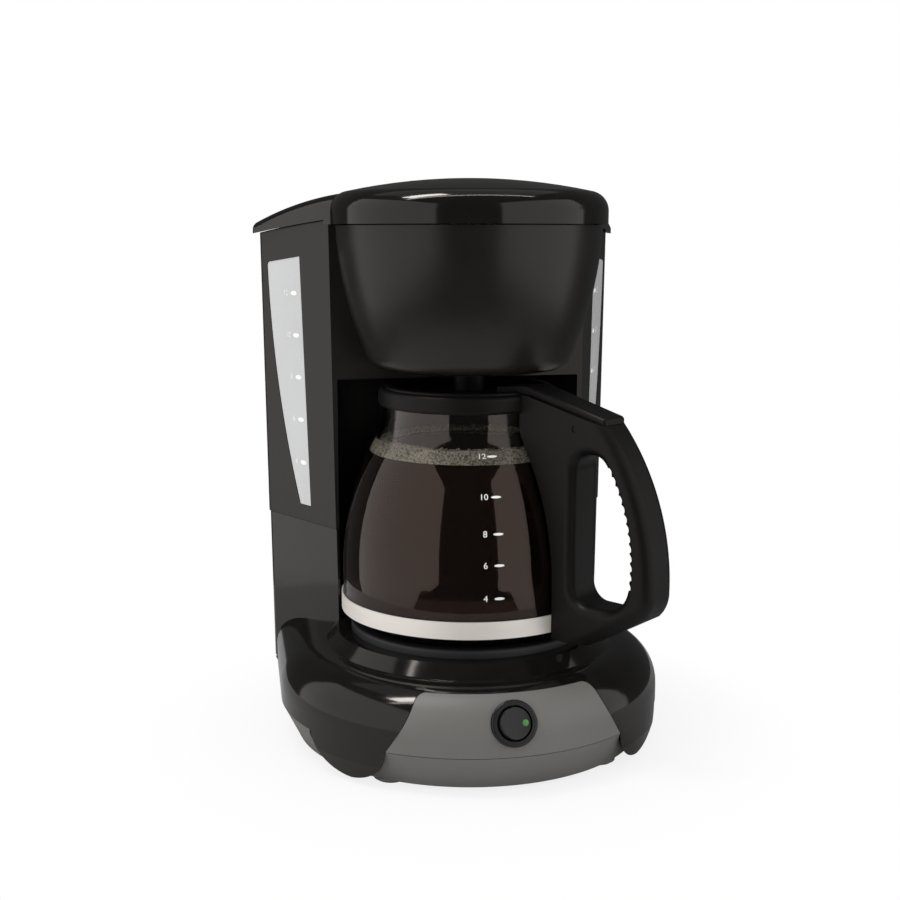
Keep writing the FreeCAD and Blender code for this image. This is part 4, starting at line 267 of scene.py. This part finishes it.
def printed_number(cups, tall):
    """One cup number as a flat mesh; a figure's height is a share of the size of its type."""
    bpy.ops.object.select_all(action="DESELECT")
    bpy.ops.object.text_add()
    number = bpy.context.object
    number.data.body = str(cups)
    number.data.size = tall / CAP_SHARE
    number.data.align_x = "CENTER"
    number.data.align_y = "CENTER"
    bpy.ops.object.convert(target="MESH")
    return bpy.context.object


def printed_oval(long, tall):
    """One level mark as a flat oval drawn in towards its ends."""
    bpy.ops.object.select_all(action="DESELECT")
    bpy.ops.mesh.primitive_circle_add(vertices=24, radius=long / 2, fill_type="NGON")
    oval = bpy.context.object
    bpy.ops.object.mode_set(mode="EDIT")
    bpy.ops.transform.resize(value=(1, tall / long, 1), center_override=(0, 0, 0))
    bpy.ops.mesh.inset(thickness=tall / 6)
    bpy.ops.object.mode_set(mode="OBJECT")
    return oval


def joined(name, pieces):
    """Joins pieces into one object with a name."""
    bpy.ops.object.select_all(action="DESELECT")
    for piece in pieces:
        piece.select_set(True)
    bpy.context.view_layer.objects.active = pieces[0]
    bpy.ops.object.join()
    pieces[0].name = name
    return pieces[0]


white_ink = Finish("white_ink")
ink_cover = white_ink.place.noise(2400)
white_ink.set(Base_Color=ink_cover.between((0.78, 0.78, 0.76), (0.9, 0.9, 0.88)),
              Roughness=0.45 + 0.2 * ink_cover)
glass_low, glass_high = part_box("carafe_glass")
axis = Vector((0, (glass_low[1] + glass_high[1]) / 2, 0))
WALL_CORNER = Vector((75.6, 24.4, 0)) * MM
WALL_RUN = Vector((0.469, 0.883, 0))
LEVELS = {12: 253.5, 10: 228.5, 8: 203.5, 6: 178.0, 4: 152.0}
OVAL_FROM_FOOT = 32.3
OVAL_LEAN = 0.056
OVAL_LONG = 6.4 * MM
OVAL_TALL = 2.8 * MM
NUMBER_TALL = 3.4 * MM
NUMBER_AWAY = 7.4 * MM
TWO_DIGITS_AWAY = 8.4 * MM
window_print = []
for side, node in ((-1, "water_window_left"), (1, "water_window_right")):
    run = Vector((side * WALL_RUN.x, WALL_RUN.y, 0))
    outward = Vector((side * WALL_RUN.y, -WALL_RUN.x, 0))
    corner = axis + Vector((side * WALL_CORNER.x, WALL_CORNER.y, 0))
    for cups, height in LEVELS.items():
        reach = OVAL_FROM_FOOT + OVAL_LEAN * (height - LEVELS[4])
        spot = corner + run * reach * MM + Vector((0, 0, height * MM)) + outward * MM
        window_print.append(stand_on(printed_oval(OVAL_LONG, OVAL_TALL), spot, outward, nodes[node]))
        spot = spot + run * (TWO_DIGITS_AWAY if cups > 9 else NUMBER_AWAY)
        window_print.append(stand_on(printed_number(cups, NUMBER_TALL), spot, outward, nodes[node]))
window_marks = joined("window_marks", window_print)
coat(white_ink, window_marks)
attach(window_marks, "machine")

# Filter basket, drip stop, riser and spray arm
# Food-grade mouldings: a basket with a spring closed valve in its floor, and the tube and arm that
# bring hot water over it.
satin_moulding = moulded("satin_moulding", (0.02, 0.02, 0.021), (0.035, 0.035, 0.036),
                         0.35, 0.15, 1600, 0.02 * MM)
pale_moulding = moulded("pale_moulding", (0.6, 0.58, 0.53), (0.76, 0.74, 0.69), 0.4, 0.15, 1200, 0.02 * MM)
spring_wire = metal("spring_wire", (0.6, 0.6, 0.6), (0.75, 0.75, 0.74), 0.2, 0.12, (1, 1, 1))
coat(satin_moulding, "filter_basket", "drip_valve", "valve_cage")
coat(pale_moulding, "riser_tube", "spray_arm")
coat(spring_wire, "valve_spring", "lid_hinge_pins", "handle_screw")

# Carafe
# A blown glass jug with a real wall, a brushed steel band at its foot, and a satin black collar, looped
# handle and cover. The handle's screw draws the band tight.
clear_glass = Finish("clear_glass")
ripple = clear_glass.place.stretched(1, 1, 0.4).noise(35)
clear_glass.set(Base_Color=ripple.between((0.95, 0.96, 0.95), (0.985, 0.99, 0.985)), Roughness=0.0,
                Transmission_Weight=1.0, IOR=1.47, Normal=ripple.bumps(0.04 * MM),
                Specular_Tint=(1, 0.84, 0.77, 1))
brushed_band = metal("brushed_band", (0.84, 0.79, 0.73), (0.95, 0.9, 0.84), 0.36, 0.14, (0.06, 0.06, 1))
brushed_band.set(Metallic=0.6)
coat(clear_glass, "carafe_glass")
coat(brushed_band, "carafe_band")
handle_black = moulded("handle_black", (0.003, 0.0027, 0.0026), (0.0075, 0.0069, 0.0067),
                       0.36, 0.1, 1500, 0.012 * MM)
handle_black.set(Specular_IOR_Level=0.2, Specular_Tint=(1, 0.93, 0.9, 1))
coat(handle_black, "carafe_collar", "carafe_handle", "carafe_lid", "lever_pin")
MARK_LEVELS = {12: 170.5, 10: 150.0, 8: 130.9, 6: 114.3, 4: 96.3}
towards = Vector((-0.2079, -0.9781, 0))
rightwards = Vector((0.9781, -0.2079, 0))
SHOULDER_CENTRE = (-74.0, 100.0)
SHOULDER_RADIUS = 147.0
DASH_LONG = 5.6 * MM
DASH_TALL = 1.5 * MM
DASH_SWING = 12.5
NUMBER_SWING = 6.6


def shoulder(height, inset):
    """Radius of the jug's shoulder at a height in millimetres, drawn in from its outside."""
    rise = height - SHOULDER_CENTRE[1]
    return SHOULDER_CENTRE[0] + math.sqrt((SHOULDER_RADIUS - inset) ** 2 - rise * rise)


glass_print = []
for cups, height in MARK_LEVELS.items():
    marks = ((printed_oval(DASH_LONG, DASH_TALL), DASH_SWING),
             (printed_number(cups, NUMBER_TALL), NUMBER_SWING))
    for mark, degrees in marks:
        swing = math.radians(degrees)
        outward = math.cos(swing) * towards + math.sin(swing) * rightwards
        spot = axis + outward * (shoulder(height, 0) + 0.5) * MM + Vector((0, 0, height * MM))
        glass_print.append(stand_on(mark, spot, outward, nodes["carafe_glass"]))
glass_marks = joined("glass_marks", glass_print)
coat(white_ink, glass_marks)
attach(glass_marks, "carafe_body")

# Coffee and froth
# The jug is filled to just under its top mark. The coffee wets the glass, so its side follows the inner
# wall, and a ring of fine froth with loose bubbles on it lies round its edge against the glass.
FILL_Z = 170.2
WETTING = (1.0015, 1.0015, 1.002)
SMOOTH_UNDER = math.radians(40)
jug = nodes["carafe_glass"]
coffee = jug.copy()
coffee.data = jug.data.copy()
coffee.name = "coffee"
coffee.parent = None
bpy.context.scene.collection.objects.link(coffee)
bpy.ops.object.select_all(action="DESELECT")
coffee.select_set(True)
bpy.context.view_layer.objects.active = coffee
bpy.ops.object.mode_set(mode="EDIT")
bpy.ops.mesh.select_all(action="SELECT")
bpy.ops.mesh.customdata_custom_splitnormals_clear()
bpy.ops.mesh.remove_doubles(threshold=0.001 * MM)
bpy.ops.mesh.bisect(plane_co=(0, 0, FILL_Z * MM), plane_no=(0, 0, 1), clear_outer=True)
bpy.ops.mesh.select_all(action="DESELECT")
bpy.ops.mesh.select_mode(type="FACE")
bpy.ops.object.mode_set(mode="OBJECT")
for face in coffee.data.polygons:
    away = face.center - axis
    away.z = 0
    lean = face.normal.dot(away.normalized())
    face.select = lean > face.normal.z
bpy.ops.object.mode_set(mode="EDIT")
bpy.ops.mesh.delete(type="FACE")
bpy.ops.mesh.select_mode(type="EDGE")
bpy.ops.mesh.select_all(action="DESELECT")
bpy.ops.mesh.select_non_manifold()
bpy.ops.mesh.edge_face_add()
bpy.ops.mesh.select_all(action="SELECT")
bpy.ops.mesh.normals_make_consistent(inside=False)
bpy.ops.transform.resize(value=WETTING, center_override=(axis.x, axis.y, FILL_Z * MM))
bpy.ops.object.mode_set(mode="OBJECT")
bpy.ops.object.shade_smooth_by_angle(angle=SMOOTH_UNDER)
black_coffee = Finish("black_coffee")
settled = black_coffee.place.noise(24)
black_coffee.set(Base_Color=settled.between((0.0035, 0.0016, 0.001), (0.007, 0.0033, 0.002)),
                 Roughness=0.03 + 0.05 * settled, IOR=1.33, Specular_Tint=(1, 0.6, 0.45, 1))
coat(black_coffee, coffee)
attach(coffee, "carafe_body")

FROTH_LOW_Z = 165.4
FROTH_TOP_Z = 172.6
FROTH_FLAT = 3.0
FROTH_WIDE = 9.0
GLASS_WALL = 2.2
WET = 0.16


def froth_edge(height, inset):
    """One ring of the froth: its radius from the glass's inner wall, and its height."""
    return ((shoulder(height, GLASS_WALL) + WET - inset) * MM, height * MM)


rings = [froth_edge(FROTH_LOW_Z, 0), froth_edge(FROTH_LOW_Z + 2.4, 0), froth_edge(FILL_Z, 0),
         froth_edge(FROTH_TOP_Z, 0), froth_edge(FROTH_TOP_Z, FROTH_FLAT),
         froth_edge(FROTH_TOP_Z - 0.8, 6.5), froth_edge(FILL_Z - 0.4, FROTH_WIDE),
         froth_edge(FROTH_LOW_Z, 4.0)]
bpy.ops.object.select_all(action="DESELECT")
bpy.ops.mesh.primitive_circle_add(vertices=128, radius=rings[0][0], location=(axis.x, axis.y, rings[0][1]))
froth = bpy.context.object
bpy.ops.object.transform_apply(location=True, rotation=True, scale=True)
bpy.ops.object.mode_set(mode="EDIT")
for (radius, height), (next_radius, next_height) in zip(rings, rings[1:]):
    bpy.ops.mesh.extrude_edges_move(TRANSFORM_OT_translate={"value": (0, 0, next_height - height)})
    grow = next_radius / radius
    bpy.ops.transform.resize(value=(grow, grow, 1), center_override=(axis.x, axis.y, next_height))
bpy.ops.mesh.select_all(action="DESELECT")
bpy.ops.mesh.select_non_manifold()
bpy.ops.mesh.bridge_edge_loops()
bpy.ops.mesh.select_all(action="SELECT")
bpy.ops.mesh.normals_make_consistent(inside=False)
bpy.ops.object.mode_set(mode="OBJECT")
bpy.ops.object.shade_smooth_by_angle(angle=SMOOTH_UNDER)
BUBBLE_FLAT = 0.8
bpy.ops.object.select_all(action="DESELECT")
bpy.ops.mesh.primitive_uv_sphere_add(segments=8, ring_count=5, radius=1.0)
bubble = bpy.context.object
bpy.ops.object.mode_set(mode="EDIT")
bpy.ops.transform.resize(value=(1, 1, BUBBLE_FLAT), center_override=(0, 0, 0))
bpy.ops.object.mode_set(mode="OBJECT")
bpy.ops.object.shade_smooth()
BUBBLES = 420
BUBBLE_SIZES = (0.45, 1.25)
BUBBLE_LIFT = (-0.2, 0.35)
BUBBLE_CROWD = 1.6
FROTH_FALL = 0.25
scatter = random.Random(12)
bubbles = [froth]
for n in range(BUBBLES):
    size = scatter.uniform(*BUBBLE_SIZES)
    inset = size + scatter.random() ** BUBBLE_CROWD * FROTH_WIDE
    swing = scatter.uniform(0, 2 * math.pi)
    height = FROTH_TOP_Z - FROTH_FALL * max(0.0, inset - FROTH_FLAT) + scatter.uniform(*BUBBLE_LIFT)
    reach = shoulder(height, GLASS_WALL) - inset
    copy = bubble.copy()
    copy.data = bubble.data.copy()
    bpy.context.scene.collection.objects.link(copy)
    copy.scale = (size * MM, size * MM, size * MM)
    copy.location = axis + Vector((reach * math.cos(swing), reach * math.sin(swing), height)) * MM
    bubbles.append(copy)
bpy.data.objects.remove(bubble)
froth = joined("froth", bubbles)
bpy.ops.object.transform_apply(location=True, rotation=True, scale=True)
tan_froth = Finish("tan_froth")
foam_cell = tan_froth.place.cells(950)
foam_patch = tan_froth.place.noise(150)
# The froth is darker in the gaps between its bubbles, partly from the coffee showing there and partly from
# painted shade in those crevices; the larger patches are random tone.
gap_shade_and_tone = foam_cell * 1.2 + 0.5 * foam_patch - 0.25
tan_froth.set(Base_Color=gap_shade_and_tone.between((0.34, 0.3, 0.22), (0.04, 0.03, 0.02)),
              Roughness=0.35 + 0.2 * foam_patch, Normal=(1.0 - foam_cell).bumps(0.15 * MM))
coat(tan_froth, froth)
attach(froth, "carafe_body")

# Camera, floor and light
# One camera at the photograph's angle, a pale floor that keeps the shadow, two large side panels with a
# dark gap between them behind the camera, a small box and a strip high up, and a dim panel overhead.
camera_place = Vector((-0.1694, -0.748175, 0.2890))
camera_back = Vector((-0.2052, -0.9656, 0.1599))
camera_data = bpy.data.cameras.new("camera")
camera_data.lens = 53.66
camera_data.sensor_width = 36
camera = bpy.data.objects.new("camera", camera_data)
bpy.context.scene.collection.objects.link(camera)
camera.location = camera_place
camera.rotation_euler = (-camera_back).to_track_quat("-Z", "Y").to_euler()
bpy.context.scene.camera = camera

FLOOR_REACH = 0.38
bpy.ops.object.select_all(action="DESELECT")
bpy.ops.mesh.primitive_circle_add(vertices=64, radius=FLOOR_REACH, fill_type="NGON")
floor = bpy.context.object
floor.name = "floor"
floor_paint = Finish("floor_paint")
floor_drift = floor_paint.place.noise(3)
floor_paint.set(Base_Color=floor_drift.between((0.74, 0.74, 0.74), (0.77, 0.77, 0.77)), Roughness=0.7)
light_path = floor_paint.tree.nodes.new("ShaderNodeLightPath")
seen = Wire(floor_paint.tree, light_path.outputs["Is Camera Ray"])
distance = floor_paint.place.node("VectorMath", {"operation": "LENGTH"}, {0: floor_paint.place},
                                  output="Value")
white = floor_paint.place.node("Emission", {}, {"Color": (1, 1, 1, 1), "Strength": 1.0})
near = Wire(floor_paint.tree, floor_paint.shader.outputs[0])
SHADOW_WHITENED = 0.82
fade = SHADOW_WHITENED + (1 - SHADOW_WHITENED) * distance.ramp(0.1, 0.2)
blend = seen.node("MixShader", {}, {0: seen * fade, 1: near, 2: white})
output = floor_paint.tree.nodes["Material Output"]
floor_paint.tree.links.new(blend.socket, output.inputs["Surface"])
coat(floor_paint, floor)


def soft_box(name, place, aim, width, height, level):
    """A rectangular soft light at a place, turned to face a point, whose face looks so bright."""
    lamp_data = bpy.data.lights.new(name, "AREA")
    lamp_data.shape = "RECTANGLE"
    lamp_data.size = width
    lamp_data.size_y = height
    lamp_data.energy = level * math.pi * width * height
    lamp = bpy.data.objects.new(name, lamp_data)
    bpy.context.scene.collection.objects.link(lamp)
    lamp.location = place
    lamp.rotation_euler = (Vector(aim) - Vector(place)).to_track_quat("-Z", "Y").to_euler()


soft_box("left_box", (-1.1, -0.3, 0.48), (0, -0.3, 0.48), 2.2, 1.46, 0.8)
soft_box("right_box", (0.83, -0.78, 0.48), (-0.03, -0.26, 0.48), 1.82, 1.46, 0.8)
soft_box("corner_box", (-0.55, -0.1, 1.45), (0, -0.05, 0.05), 0.22, 0.6, 18.0)
soft_box("top_strip", (-0.2, -0.3, 1.4), (-0.2, -0.3, 0), 1.8, 0.06, 9.0)
soft_box("over_box", (0, 0.35, 1.7), (0, 0, 0.3), 1.9, 1.2, 0.25)

world = bpy.data.worlds.new("studio")
bpy.context.scene.world = world
world.use_nodes = True
studio = world.node_tree
studio.nodes.clear()
paths = studio.nodes.new("ShaderNodeLightPath")
seen = Wire(studio, paths.outputs["Is Camera Ray"])
through = Wire(studio, paths.outputs["Is Transmission Ray"])
bounces = Wire(studio, paths.outputs["Glossy Depth"])
mirrored = bounces.maths("MINIMUM", bounces, 1.0)
FILL_LEVEL = 0.65
MIRRORED_LEVEL = 0.06
plain = FILL_LEVEL + (1 - FILL_LEVEL) * seen.maths("MAXIMUM", seen, through)
level = plain * (1 - mirrored) + MIRRORED_LEVEL * mirrored
sky = seen.node("Background", {}, {"Color": (1, 1, 1, 1), "Strength": level})
ending = studio.nodes.new("ShaderNodeOutputWorld")
studio.links.new(sky.socket, ending.inputs["Surface"])
bpy.context.scene.view_settings.view_transform = "Standard"
